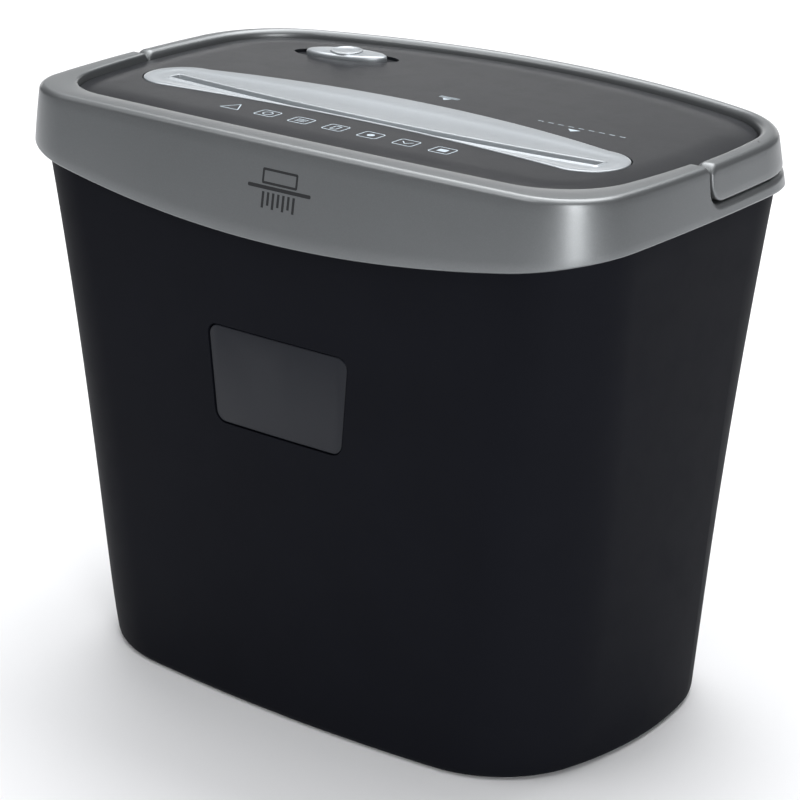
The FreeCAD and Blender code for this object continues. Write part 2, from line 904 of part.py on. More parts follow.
def make_handle(outer):
    low = f"{PIVOT_Z} - handle_half_tall"
    front = "pivot_y - handle_half_tall"
    side = plate(
        "handle_side",
        "YZ_Plane",
        "-(mouth_half + cut_over)",
        "2 * (mouth_half + cut_over)",
        [(front, low), ("mouth_back + cut_over", low), ("mouth_back + cut_over", RIM_TOP), (front, RIM_TOP)],
    )
    front_y = size(front)
    low_z = size(low)
    round_body(
        side,
        side.Tip,
        "handle_half_tall - running_gap",
        lambda edge: runs_along(edge, Vector(1, 0, 0))
        and abs(edge.CenterOfMass.y - front_y) < 1e-3
        and abs(edge.CenterOfMass.z - low_z) < 1e-3,
    )
    round_body(
        side,
        side.Tip,
        "handle_top_turn",
        lambda edge: runs_along(edge, Vector(1, 0, 0))
        and abs(edge.CenterOfMass.y - front_y) < 1e-3
        and edge.CenterOfMass.z > low_z + 1e-3
        and edge.Length > 1,
    )
    inside = oval_slab(
        "handle_inside", oval_rules("panel", "-handle_side_gap"), f"{low} - cut_past", f"{RIM_TOP} + cut_past")
    bores = []
    for sign, side_name in ((1, "right"), (-1, "left")):
        start = PIN_FACE if sign > 0 else f"-({PIN_FACE} + pin_in_handle + pin_end_gap)"
        bore = rod(
            f"{side_name}_pin_bore",
            "x",
            (start, "pivot_y", PIVOT_Z),
            "pin_in_handle + pin_end_gap",
            "pin_radius + running_gap",
        )
        bores.append(bore)
    node(cut("handle", common("handle_bar", outer, side), inside, *bores), "carry_handle")
    pins = []
    for sign, side_name in ((1, "right"), (-1, "left")):
        start = f"{PIN_FACE} - pin_in_panel" if sign > 0 else f"-({PIN_FACE} + pin_in_handle)"
        pin = rod(
            f"{side_name}_pin", "x", (start, "pivot_y", PIVOT_Z), "pin_in_panel + pin_in_handle", "pin_radius")
        pins.append(pin)
    node(group("pins", *pins), "handle_pins")


# The panel's side wall at the handle's pivots.
PIN_FACE = "(mouth_half + panel_half - pin_step)"


# ------------------------------------------------------ top panel and bezel


def bezel_wire(grow, z):
    """A shallow crescent round the paper slot, with blunt rounded ends."""
    reach = size("bezel_reach") + grow
    shoulder = size("bezel_shoulder") + grow / 2
    back = size("throat_y + bezel_back") + grow
    back_end = size("throat_y + bezel_back - bezel_back_drop") + grow
    front = size("throat_y - bezel_front") - grow
    front_end = size("throat_y - bezel_front - bezel_front_drop") - grow
    middle = (back_end + front_end) / 2

    def arc(first, through, last):
        return Part.Arc(Vector(*first, z), Vector(*through, z), Vector(*last, z)).toShape()

    return Part.Wire([
        arc((shoulder, back_end), (0, back), (-shoulder, back_end)),
        arc((-shoulder, back_end), (-reach, middle), (-shoulder, front_end)),
        arc((-shoulder, front_end), (0, front), (shoulder, front_end)),
        arc((shoulder, front_end), (reach, middle), (shoulder, back_end)),
    ])


def bezel_slab(name, grow, low, high):
    """The bezel's outline carried up between two heights."""
    bottom = size(low)
    face = Part.Face(bezel_wire(size(grow), bottom))
    return shaped(name, face.extrude(Vector(0, 0, size(high) - bottom)))


def make_bezel():
    plug = bezel_slab("bezel_plug", "0", BEZEL_LOW, BEZEL_TOP)
    lip_top = f"({PANEL_TOP} - panel_thick)"
    lip = bezel_slab("bezel_flange", "bezel_lip", f"{lip_top} - bezel_lip_thick", lip_top)
    trough = plate(
        "bezel_trough",
        "YZ_Plane",
        "-(bezel_reach + cut_over)",
        "2 * (bezel_reach + cut_over)",
        [
            ("throat_y - trough_front", BEZEL_TOP),
            ("throat_y - throat_wide / 2 - throat_lip", f"{BEZEL_TOP} - bezel_dip"),
            ("throat_y + throat_wide / 2 + throat_lip", f"{BEZEL_TOP} - bezel_dip"),
            ("throat_y + trough_back", BEZEL_TOP),
            ("throat_y + trough_back", f"{BEZEL_TOP} + cut_over"),
            ("throat_y - trough_front", f"{BEZEL_TOP} + cut_over"),
        ],
    )
    slot = block("bezel_slot", mirrored("throat_half"), THROAT, (f"{BEZEL_LOW} - cut_past", f"{BEZEL_TOP} + cut_past"))
    node(cut("bezel", fuse("bezel_solid", plug, lip), trough, slot), "throat_bezel")


THROAT = ("throat_y - throat_wide / 2", "throat_y + throat_wide / 2")


def switch_placed(thing, rise):
    """Turn a piece of the slide switch along its track and set it on the panel."""
    thing.Placement = Placement(Vector(), Rotation(Vector(0, 0, 1), size("switch_turn")))
    return place(thing, "switch_x", "switch_y", rise)


def ellipse(name, half, wide, low, high):
    """An elliptical slab along the switch's track."""
    outline = Part.Ellipse(Vector(), size(half), size(wide) / 2).toShape()
    tall = size(f"({high}) - ({low})")
    face = Part.Face(Part.Wire([outline]))
    return switch_placed(shaped(name, face.extrude(Vector(0, 0, tall))), low)


def capsule(name, half, wide, low, high):
    """A round-ended bar along the switch's track."""
    radius = size(wide) / 2
    straight = size(half) - radius
    top = Part.LineSegment(Vector(straight, radius, 0), Vector(-straight, radius, 0)).toShape()
    left = Part.Arc(
        Vector(-straight, radius, 0), Vector(-straight - radius, 0, 0), Vector(-straight, -radius, 0)).toShape()
    foot = Part.LineSegment(Vector(-straight, -radius, 0), Vector(straight, -radius, 0)).toShape()
    right = Part.Arc(
        Vector(straight, -radius, 0), Vector(straight + radius, 0, 0), Vector(straight, radius, 0)).toShape()
    tall = size(f"({high}) - ({low})")
    face = Part.Face(Part.Wire([top, left, foot, right]))
    return switch_placed(shaped(name, face.extrude(Vector(0, 0, tall))), low)


def make_top_panel():
    outer = oval_slab("panel_outer", oval_rules("panel"), PANEL_LOW, PANEL_TOP)
    top = size(PANEL_TOP)
    rounded = round_solid("panel_rounded", outer, "panel_round", lambda edge: edge.BoundBox.ZMin > top - 1e-3)
    inner = oval_slab(
        "panel_inner", oval_rules("panel", "panel_thick"), f"{PANEL_LOW} - cut_past", f"{PANEL_TOP} - panel_thick")
    bosses = [
        rod("right_boss", "x", ("mouth_half + panel_half - panel_thick - boss_long", "pivot_y", PIVOT_Z),
            "boss_long + panel_thick / 2", "boss_radius"),
        rod("left_boss", "x", ("-(mouth_half + panel_half - panel_thick / 2)", "pivot_y", PIVOT_Z),
            "boss_long + panel_thick / 2", "boss_radius"),
    ]
    pin_holes = [
        rod("right_pin_hole", "x", (f"{PIN_FACE} - pin_in_panel", "pivot_y", PIVOT_Z),
            "pin_in_panel + 2 * cut_past", "pin_radius"),
        rod("left_pin_hole", "x", (f"-({PIN_FACE} + 2 * cut_past)", "pivot_y", PIVOT_Z),
            "pin_in_panel + 2 * cut_past", "pin_radius"),
    ]
    posts = [
        rod(f"screw_post_{i}", "z", (x, y, f"{FLANGE_TOP} + fit_gap"),
            f"{PANEL_TOP} - panel_thick / 2 - {FLANGE_TOP} - fit_gap", "post_radius")
        for i, (x, y) in enumerate(EARS)
    ]
    post_bores = [
        rod(f"screw_bore_{i}", "z", (x, y, FLANGE_TOP), "flange_thick + screw_long_above", "screw_radius")
        for i, (x, y) in enumerate(EARS)
    ]
    seat = bezel_slab("bezel_seat", "fit_gap", f"{PANEL_TOP} - panel_thick - cut_past", f"{PANEL_TOP} + cut_past")
    dish = ellipse(
        "switch_dish", "recess_half", "recess_wide", f"{PANEL_TOP} - recess_deep", f"{PANEL_TOP} + cut_past")
    slide_slot = capsule(
        "slide_slot", SLOT_HALF, SLOT_WIDE, f"{PANEL_TOP} - panel_thick - cut_past", f"{PANEL_TOP} + cut_past")
    hollow = cut("panel_hollow", rounded, inner)
    solid = fuse("panel_solid", hollow, *bosses, *posts)
    node(cut("panel", solid, seat, dish, slide_slot, *pin_holes, *post_bores), "top_panel")


# The slot that the knob's stem slides in, through the panel and in the switch.
SLOT_HALF = "(stem_half + knob_travel + slot_end_gap)"
SLOT_WIDE = "(2 * (stem_half + slot_side_gap))"

# The inner end of the cord gland; its flange sits in a counterbore in the band.
GLAND_INNER = "(mouth_back + gland_seat - gland_long)"

# Four ears inside the housing's mouth, and the screws that pass through them.
EARS = [
    ("mouth_half - ear_inset", "-ear_front"),
    ("mouth_half - ear_inset", "ear_back"),
    ("-(mouth_half - ear_inset)", "-ear_front"),
    ("-(mouth_half - ear_inset)", "ear_back"),
]


def make_switch():
    knob_low = f"({PANEL_TOP} - recess_deep + knob_lift)"
    knob = ellipse("knob_blank", "knob_half", "knob_wide", knob_low, f"{knob_low} + knob_tall")
    stem = switch_placed(doc.addObject("Part::Box", "knob_stem"), f"{PANEL_TOP} - panel_thick - stem_deep")
    bind(stem, "Length", "2 * stem_half")
    bind(stem, "Width", "2 * (stem_half - stem_slack)")
    bind(stem, "Height", "panel_thick + stem_deep")
    turn = f"{size('switch_turn')} deg"
    bind(stem, "Placement.Base.x",
         f"switch_x - stem_half * cos({turn}) + (stem_half - stem_slack) * sin({turn})")
    bind(stem, "Placement.Base.y",
         f"switch_y - stem_half * sin({turn}) - (stem_half - stem_slack) * cos({turn})")
    thumb = doc.addObject("Part::Sphere", "thumb_dish")
    bind(thumb, "Radius", "thumb_ball")
    place(thumb, "switch_x", "switch_y", f"{knob_low} + knob_tall + thumb_ball - thumb_deep")
    node(cut("knob", fuse("knob_solid", knob, stem), thumb), "slide_knob")
    body_high = f"({PANEL_TOP} - panel_thick)"
    case = capsule(
        "switch_case", "stem_half + knob_travel + switch_end", "switch_wide", f"{body_high} - switch_deep", body_high)
    pit = capsule("switch_pit", SLOT_HALF, SLOT_WIDE, f"{body_high} - pit_deep", f"{body_high} + cut_past")
    node(cut("switch_body", case, pit), "slide_switch")


# ------------------------------------------------------------ lower housing


def housing_at(inset):
    return lambda z: bin_rules(z, f"bin_wall + housing_gap + ({inset})")


def make_housing():
    outer = oval_loft("housing_outer", housing_at("0"), (HOUSING_LOW, "bin_height"))
    inner = oval_loft("housing_inner", housing_at("housing_wall"), (HOUSING_FLOOR, "bin_height"))
    flange_outer = oval_slab("flange_outer", oval_rules("mouth", "flange_step"), "bin_height", FLANGE_TOP)
    flange_inner = oval_slab(
        "flange_inner", oval_rules("mouth", "bin_wall + housing_gap + housing_wall"), "bin_height - cut_past",
        f"{FLANGE_TOP} + cut_past")
    ears = []
    holes = []
    for i, (x, y) in enumerate(EARS):
        outward = f"({x}) - ear_half" if i < 2 else f"({x}) + ear_half - ear_long"
        ears.append(block(
            f"ear_{i}",
            (outward, f"{outward} + ear_long"),
            (f"({y}) - ear_half", f"({y}) + ear_half"),
            ("bin_height", FLANGE_TOP),
        ))
        holes.append(rod(
            f"ear_hole_{i}", "z", (x, y, "bin_height - cut_past"), "flange_thick + 2 * cut_past",
            "screw_radius + running_gap"))
    outlet = block(
        "outlet",
        mirrored("outlet_half"),
        ("throat_y - outlet_front", "throat_y + outlet_back"),
        (f"{HOUSING_LOW} - cut_past", f"{HOUSING_FLOOR} + cut_past"),
    )
    gland_hole = rod(
        "housing_gland_hole", "y", ("gland_x", "mouth_back / 2", GLAND_Z), "mouth_back", "gland_radius")
    plunger_gap = block(
        "plunger_gap",
        (f"{RIM_X} - plunger_far - 2 * plunger_slack", "mouth_half + 2 * cut_past"),
        ("-plunger_front - plunger_half - plunger_slack", "-plunger_front + plunger_half + plunger_slack"),
        ("bin_height - cut_past", f"{FLANGE_TOP} + cut_past"),
    )
    feet = [
        block(f"plate_foot_{i}", bounds, across_y, (f"{HOUSING_FLOOR} - rooted", PLATE_LOW))
        for i, (bounds, across_y) in enumerate(PLATE_FEET)
    ]
    foot_holes = [
        rod(f"plate_foot_hole_{i}", "z", (x, y, f"{HOUSING_LOW} - cut_past"), "plate_foot_tall", "screw_radius")
        for i, (x, y) in enumerate(PLATE_SCREWS)
    ]
    pillars = [
        rod(f"board_pillar_{i}", "z", (x, y, f"{HOUSING_FLOOR} - rooted"),
            f"{BOARD_LOW} - {HOUSING_FLOOR} + rooted", "post_radius")
        for i, (x, y) in enumerate(BOARD_SCREWS)
    ]
    pillar_bores = [
        rod(f"board_pillar_bore_{i}", "z", (x, y, f"{HOUSING_FLOOR} + rooted"), "cut_over", "screw_radius")
        for i, (x, y) in enumerate(BOARD_SCREWS)
    ]
    tray = cut("tray", outer, inner)
    flange = cut("flange", flange_outer, flange_inner)
    solid = fuse("housing_solid", tray, flange, *ears, *feet, *pillars)
    node(
        cut("housing", solid, outlet, gland_hole, plunger_gap, *holes, *foot_holes, *pillar_bores),
        "lower_housing",
    )


# Each side plate has a turned foot at the front and back, screwed down to a rib.
PLATE_SIDES = (("right", 1, "plate_short_back"), ("left", -1, "plate_back"))
PLATE_FEET = []
PLATE_SCREWS = []
for _, sign, back in PLATE_SIDES:
    low, high = ("plate_inner - foot_long", "plate_inner + plate_thick")
    bounds = (low, high) if sign > 0 else (f"-({high})", f"-({low})")
    for y_bounds in (("plate_front", "plate_front + foot_wide"), (f"{back} - foot_wide", back)):
        PLATE_FEET.append((bounds, y_bounds))
        middle_x = f"{'' if sign > 0 else '-'}(plate_inner - foot_long / 2)"
        PLATE_SCREWS.append((middle_x, f"({y_bounds[0]} + {y_bounds[1]}) / 2"))

BOARD_SCREWS = [
    ("board_left + board_hole_inset", "board_front + board_hole_inset"),
    ("board_left + board_long - board_hole_inset", "board_front + board_hole_inset"),
    ("board_left + board_hole_inset", "board_front + board_deep - board_hole_inset"),
    ("board_left + board_long - board_hole_inset", "board_front + board_deep - board_hole_inset"),
]


def screws(name, places, head_z, length, upwards=True):
    """Pan-head screws on one node, each a head and a shank."""
    pieces = []
    for i, (x, y) in enumerate(places):
        sign = "" if upwards else "-"
        base = (x, y, head_z)
        profile = [
            ("-screw_head_tall", "0"),
            (length, "0"),
            (length, "screw_radius"),
            ("0", "screw_radius"),
            ("0", "screw_head"),
            ("-screw_head_tall + screw_head_round", "screw_head"),
            ("-screw_head_tall", "screw_head - screw_head_round"),
        ]
        pieces.append(turned(f"{name}_{i}", profile, f"{sign}z", base))
    return node(group(f"{name}_set", *pieces), name)


def make_screws():
    screws("top_cover_screws", EARS, "bin_height", "flange_thick + screw_long_above")
    screws("plate_screws", PLATE_SCREWS, f"{PLATE_LOW} + foot_thick", "plate_screw_long", upwards=False)
    screws("board_screws", BOARD_SCREWS, f"{BOARD_LOW} + board_thick", "board_thick + board_screw_long",
           upwards=False)


# --------------------------------------------------- side plates and guides


def side_plate(name, sign, back, bores):
    """A steel plate with two turned feet."""
    near = "plate_inner" if sign > 0 else "-(plate_inner + plate_thick)"
    sheet_metal = plate(
        f"{name}_blank",
        "YZ_Plane",
        near,
        "plate_thick",
        [
            ("plate_front", PLATE_LOW),
            (back, PLATE_LOW),
            (back, PLATE_HIGH),
            ("plate_front", PLATE_HIGH),
        ],
        bores,
    )
    feet = []
    holes = []
    first = 0 if sign > 0 else 2
    for i in (first, first + 1):
        bounds, y_bounds = PLATE_FEET[i]
        feet.append(block(f"{name}_foot_{i}", bounds, y_bounds, (PLATE_LOW, f"{PLATE_LOW} + foot_thick")))
        x, y = PLATE_SCREWS[i]
        holes.append(rod(f"{name}_foot_hole_{i}", "z", (x, y, f"{PLATE_LOW} - cut_past"), "foot_thick + 2 * cut_past",
                         "screw_radius + running_gap"))
    node(cut(f"{name}_metal", fuse(f"{name}_solid", sheet_metal, *feet), *holes), name)


BUSH_RADIUS = "(journal_radius + bush_wall)"
RODS = [
    ("throat_y - rod_front", f"{ROLLER_Z} + rod_high"),
    ("throat_y - rod_front", f"{ROLLER_Z} - rod_low"),
    ("throat_y + rod_back", f"{ROLLER_Z} - rod_back_low"),
]
OUTPUT_GAP = f"(output_module * {(TEETH['output'] + TEETH['small']) / 2})"
MIDDLE_GAP = f"(middle_module * {(TEETH['middle'] + TEETH['small']) / 2})"
MOTOR_GAP = f"(motor_module * {(TEETH['motor'] + TEETH['small']) / 2})"
SECOND_Y = f"({REAR_Y} + {OUTPUT_GAP} * cos(second_idler_turn))"
SECOND_Z = f"({ROLLER_Z} + {OUTPUT_GAP} * sin(second_idler_turn))"
FIRST_Y = f"({SECOND_Y} + {MIDDLE_GAP} * cos(first_idler_turn))"
FIRST_Z = f"({SECOND_Z} - {MIDDLE_GAP} * sin(first_idler_turn))"
MOTOR_Y = f"({FIRST_Y} + {MOTOR_GAP} * cos(motor_turn))"
MOTOR_Z = f"({FIRST_Z} + {MOTOR_GAP} * sin(motor_turn))"
MOTOR_BOLTS = [
    (f"{MOTOR_Y} + {dy} * (stack_wide / 2 - bolt_inset)", f"{MOTOR_Z} + {dz} * (stack_tall / 2 - bolt_inset)")
    for dy in (-1, 1)
    for dz in (-1, 1)
]


def make_frame():
    shared = [
        (FRONT_Y, ROLLER_Z, BUSH_RADIUS),
        (REAR_Y, ROLLER_Z, BUSH_RADIUS),
        *[(y, z, "rod_thread") for y, z in RODS],
    ]
    side_plate("right_side_plate", 1, "plate_short_back", shared)
    side_plate("left_side_plate", -1, "plate_back", shared + [
        (SECOND_Y, SECOND_Z, "axle_radius"),
        (FIRST_Y, FIRST_Z, "axle_radius"),
        (MOTOR_Y, MOTOR_Z, "motor_hole_radius"),
        *[(y, z, "screw_radius + running_gap") for y, z in MOTOR_BOLTS],
    ])
    cover = plate(
        "cover_blank",
        "YZ_Plane",
        "-(cover_near + cover_thick)",
        "cover_thick",
        [
            (f"{REAR_Y} - cover_side", f"{ROLLER_Z} - cover_side"),
            (f"{FIRST_Y} + cover_side", f"{ROLLER_Z} - cover_foot"),
            (f"{FIRST_Y} + cover_side", f"{SECOND_Z} + cover_top"),
            (f"{SECOND_Y} - cover_step", f"{SECOND_Z} + cover_top"),
            (f"{REAR_Y} - cover_side", f"{ROLLER_Z} + cover_step"),
        ],
        [
            (SECOND_Y, SECOND_Z, "axle_radius"),
            (FIRST_Y, FIRST_Z, "axle_radius"),
            (REAR_Y, ROLLER_Z, "journal_radius + end_gap"),
        ],
    )
    node(cover, "gear_cover_plate")
    bars = []
    nuts = []
    for i, (y, z) in enumerate(RODS):
        reach = "plate_inner + plate_thick + nut_thick"
        shoulder = rod(f"tie_bar_{i}", "x", ("-plate_inner", y, z), "2 * plate_inner", "rod_radius")
        thread = rod(f"tie_thread_{i}", "x", (f"-({reach})", y, z), f"2 * ({reach})", "rod_thread")
        bars.append(fuse(f"tie_rod_{i}", shoulder, thread))
        for side, start in (("right", "plate_inner + plate_thick"), ("left", f"-({reach})")):
            blank = hex_bar(f"nut_blank_{side}_{i}", (start, y, z), "nut_thick", "nut_flats")
            bore = rod(f"nut_bore_{side}_{i}", "x", (f"{start} - cut_past", y, z),
                       "nut_thick + 2 * cut_past", "rod_thread")
            nuts.append(cut(f"nut_{side}_{i}", blank, bore))
    node(group("tie_rod_set", *bars), "tie_rods")
    node(group("tie_nut_set", *nuts), "tie_rod_nuts")
    bushes = []
    for side, axis in (("right", "x"), ("left", "-x")):
        for roller, y in (("front", FRONT_Y), ("rear", REAR_Y)):
            bore = "journal_radius + running_gap"
            profile = [
                ("0", bore),
                ("plate_thick + bush_proud", bore),
                ("plate_thick + bush_proud", BUSH_RADIUS),
                ("0", BUSH_RADIUS),
                ("0", f"{BUSH_RADIUS} + bush_flange"),
                ("-bush_flange_thick", f"{BUSH_RADIUS} + bush_flange"),
                ("-bush_flange_thick", bore),
            ]
            start = "plate_inner" if side == "right" else "-plate_inner"
            bushes.append(turned(f"bush_{side}_{roller}", profile, axis, (start, y, ROLLER_Z)))
    node(group("bush_set", *bushes), "shaft_bushes")


def make_guides():
    """Two moulded strips that lead the paper from the bezel to the rollers."""
    for name, near, far in (
        ("front_paper_guide", "throat_y - throat_wide / 2 - guide_thick", "throat_y - throat_wide / 2"),
        ("rear_paper_guide", "throat_y + throat_wide / 2", "throat_y + throat_wide / 2 + guide_thick"),
    ):
        strip = block(f"{name}_strip", mirrored("plate_inner - guide_end_gap"), (near, far),
                      ("bin_height - guide_drop", BEZEL_LOW))
        lever_gap = block(
            f"{name}_lever_gap",
            mirrored("lever_half + lever_side_gap"),
            (f"{near} - cut_past", f"{far} + cut_past"),
            ("bin_height - lever_gap_low", "bin_height + lever_gap_high"),
        )
        guide = cut(f"{name}_cut", strip, lever_gap)
        if name == "rear_paper_guide":
            guide = fuse("rear_guide_with_cheeks", guide, *lever_cheeks())
        node(guide, name)


def lever_cheeks():
    """Two cheeks on the rear guide that carry the paper sensor's pivot pin."""
    near = "throat_y + throat_wide / 2 + guide_thick - rooted"
    cheeks = []
    for side, x_low in (("left", "-(lever_half + cheek_out + cheek_thick)"), ("right", "lever_half + cheek_out")):
        blank = block(
            f"lever_cheek_{side}",
            (x_low, f"{x_low} + cheek_thick"),
            (near, f"{LEVER_Y} + cheek_half"),
            (f"{LEVER_Z} - cheek_half", f"{LEVER_Z} + cheek_half"),
        )
        hole = rod(f"lever_cheek_hole_{side}", "x", (f"{x_low} - cut_past", LEVER_Y, LEVER_Z),
                   "cheek_thick + 2 * cut_past", "lever_pin")
        cheeks.append(cut(f"lever_bearing_{side}", blank, hole))
    return cheeks


LEVER_Y = "(throat_y + lever_back)"
LEVER_Z = "(bin_height - lever_drop)"


# ------------------------------------------------------------------ rollers


def hex_hole(flats, y, z, x_low, x_high):
    """A hexagonal prism along X, made for cutting a bore."""
    radius = flats / math.sqrt(3)
    corners = [
        Vector(x_low, y + radius * math.sin(math.pi * k / 3), z + radius * math.cos(math.pi * k / 3))
        for k in range(7)
    ]
    return Part.Face(Part.makePolygon(corners)).extrude(Vector(x_high - x_low, 0, 0))


def round_bar(radius, y, z, x_low, x_high):
    return Part.makeCylinder(radius, x_high - x_low, Vector(x_low, y, z), Vector(1, 0, 0))


def disc_centres(front):
    """Where the cutting discs stand along a shaft; the two rows interleave."""
    pitch = size("disc_pitch")
    count = DISC_COUNT if front else DISC_COUNT + 1
    first = -pitch * (count - 1) / 2
    return [first + pitch * i for i in range(count)]


def cutter_disc(x, y, z):
    """A steel disc with three hooked cutting points on its edge."""
    radius = size("disc_radius")
    half = size("disc_thick") / 2
    hook = radius * HOOK_SHARE
    pitch = 2 * math.pi / HOOKS
    outline = []
    for k in range(HOOKS):
        start = pitch * k
        tip = Vector(0, radius * math.cos(start), radius * math.sin(start))
        inner = Vector(0, (radius - hook) * math.cos(start), (radius - hook) * math.sin(start))
        ramp = start - HOOK_RAMP
        foot = Vector(0, (radius - hook) * math.cos(ramp), (radius - hook) * math.sin(ramp))
        rim_end = start + pitch - HOOK_OPEN
        rim_middle = (start + rim_end) / 2
        last = Vector(0, radius * math.cos(rim_end), radius * math.sin(rim_end))
        through = Vector(0, radius * math.cos(rim_middle), radius * math.sin(rim_middle))
        outline += [
            Part.LineSegment(foot, inner).toShape(),
            Part.LineSegment(inner, tip).toShape(),
            Part.Arc(tip, through, last).toShape(),
        ]
        next_foot_turn = start + pitch - HOOK_RAMP
        next_foot = Vector(
            0, (radius - hook) * math.cos(next_foot_turn), (radius - hook) * math.sin(next_foot_turn))
        outline.append(Part.LineSegment(last, next_foot).toShape())
    wire = Part.Wire(Part.sortEdges(outline)[0])
    disc = Part.Face(wire).extrude(Vector(2 * half, 0, 0))
    disc.translate(Vector(x - half, y, z))
    return disc.cut(hex_hole(size("hex_flats + 2 * hex_gap"), y, z, x - 2 * half, x + 2 * half))


def make_roller(name, y_rule, front):
    y = size(y_rule)
    z = size(ROLLER_Z)
    half = size("disc_thick") / 2
    centres = disc_centres(front)
    node(shaped(f"{name}_disc_set", Part.makeCompound([cutter_disc(x, y, z) for x in centres])),
         f"{name}_cutter_discs")
    spacers = []
    for left, right in zip(centres, centres[1:]):
        ring = round_bar(size(SPACER_RADIUS), y, z, left + half, right - half)
        spacers.append(ring.cut(hex_hole(size("hex_flats + 2 * hex_gap"), y, z, left, right)))
    node(shaped(f"{name}_spacer_set", Part.makeCompound(spacers)), f"{name}_spacers")
    inside = "plate_inner - bush_flange_thick - end_gap"
    left_end = "plate_inner + plate_thick + 2 * end_gap" if front else "wheel_three_far + end_gap"
    core = hex_bar(f"{name}_hex", (f"-({inside})", y_rule, ROLLER_Z), f"2 * ({inside})", "hex_flats")
    journal = rod(f"{name}_journal", "x", (f"-({left_end})", y_rule, ROLLER_Z),
                  f"({left_end}) + sync_far + end_gap", "journal_radius")
    turned_down = rod(f"{name}_turned", "x", (f"-({inside})", y_rule, ROLLER_Z), f"2 * ({inside})", "hex_turned")
    trimmed = common(f"{name}_core", core, turned_down)
    node(fuse(f"{name}_shaft_solid", trimmed, journal), f"{name}_cutter_shaft")


def make_comb(name, front):
    """A moulded comb whose fingers sit between the discs and lift the strips off."""
    y = size(FRONT_Y if front else REAR_Y)
    z = size(ROLLER_Z)
    sign = -1 if front else 1
    throat = size("throat_y")
    far = throat + sign * size("comb_front")
    near = y + sign * size(SPACER_RADIUS) / 3
    spine_near = far - sign * size("comb_spine")
    low = z - size("rod_low + comb_margin")
    high = z + size("rod_high + comb_margin" if front else "-comb_rear_drop")
    centres = disc_centres(front)
    half = size("disc_pitch - disc_thick") / 2 - size("comb_gap")
    width = size("plate_inner - end_gap")
    tall = high - low
    spine = Part.makeBox(2 * width, abs(far - spine_near), tall, Vector(-width, min(far, spine_near), low))
    fingers = []
    for left, right in zip(centres, centres[1:]):
        middle = (left + right) / 2
        fingers.append(Part.makeBox(2 * half, abs(near - far), tall, Vector(middle - half, min(near, far), low)))
    comb = spine.multiFuse(fingers)
    comb = comb.cut(round_bar(size(SPACER_RADIUS) + size("comb_gap"), y, z, -width - 1, width + 1))
    rows = RODS[:2] if front else RODS[2:]
    for rod_y, rod_z in rows:
        passage = round_bar(size("rod_radius + fit_gap"), size(rod_y), size(rod_z), -width - 1, width + 1)
        comb = comb.cut(passage)
    node(shaped(f"{name}_solid", comb.removeSplitter()), name)


# -------------------------------------------------------------------- gears


def involute(angle):
    return math.tan(angle) - angle


def gear_face(module, teeth, first_tooth):
    """A spur gear's outline in the YZ plane, with one tooth at the given angle."""
    pitch_radius = module * teeth / 2
    base = pitch_radius * math.cos(PRESSURE)
    tip = pitch_radius + module
    root = pitch_radius - ROOT_DEPTH * module
    half_tooth = (math.pi * module / 2 - size("backlash")) / (2 * pitch_radius)
    start = max(base, root)

    def half_angle(radius):
        if radius <= base:
            return half_tooth + involute(PRESSURE)
        return half_tooth + involute(PRESSURE) - involute(math.acos(base / radius))

    def at(radius, angle):
        return Vector(0, radius * math.cos(angle), radius * math.sin(angle))

    steps = [start + (tip - start) * k / 4 for k in range(5)]
    edges = []
    for k in range(teeth):
        middle = first_tooth + 2 * math.pi * k / teeth
        rising = [at(r, middle - half_angle(r)) for r in steps]
        falling = [at(r, middle + half_angle(r)) for r in reversed(steps)]
        root_start = at(root, middle - half_angle(start))
        root_end = at(root, middle + half_angle(start))
        next_root = at(root, middle + 2 * math.pi / teeth - half_angle(start))
        between = at(root, middle + math.pi / teeth)
        if start > root + 1e-6:
            edges.append(Part.LineSegment(root_start, rising[0]).toShape())
        for flank in (rising, falling):
            curve = Part.BSplineCurve()
            curve.interpolate(flank)
            edges.append(curve.toShape())
            if flank is rising:
                edges.append(Part.Arc(rising[-1], at(tip, middle), falling[0]).toShape())
        if start > root + 1e-6:
            edges.append(Part.LineSegment(falling[-1], root_end).toShape())
        edges.append(Part.Arc(root_end, between, next_root).toShape())
    return Part.Face(Part.Wire(edges))


def gear(module, teeth, first_tooth, y, z, x_low, x_high):
    solid = gear_face(module, teeth, first_tooth).extrude(Vector(x_high - x_low, 0, 0))
    solid.translate(Vector(x_low, y, z))
    return solid


def meshing(direction, driver_tooth, driver_teeth, teeth):
    """First-tooth angle of a gear that meshes with its driver along a direction."""
    driver_phase = (direction - driver_tooth) * driver_teeth / (2 * math.pi)
    own_phase = -driver_phase - 0.5
    return direction + math.pi - own_phase * 2 * math.pi / teeth


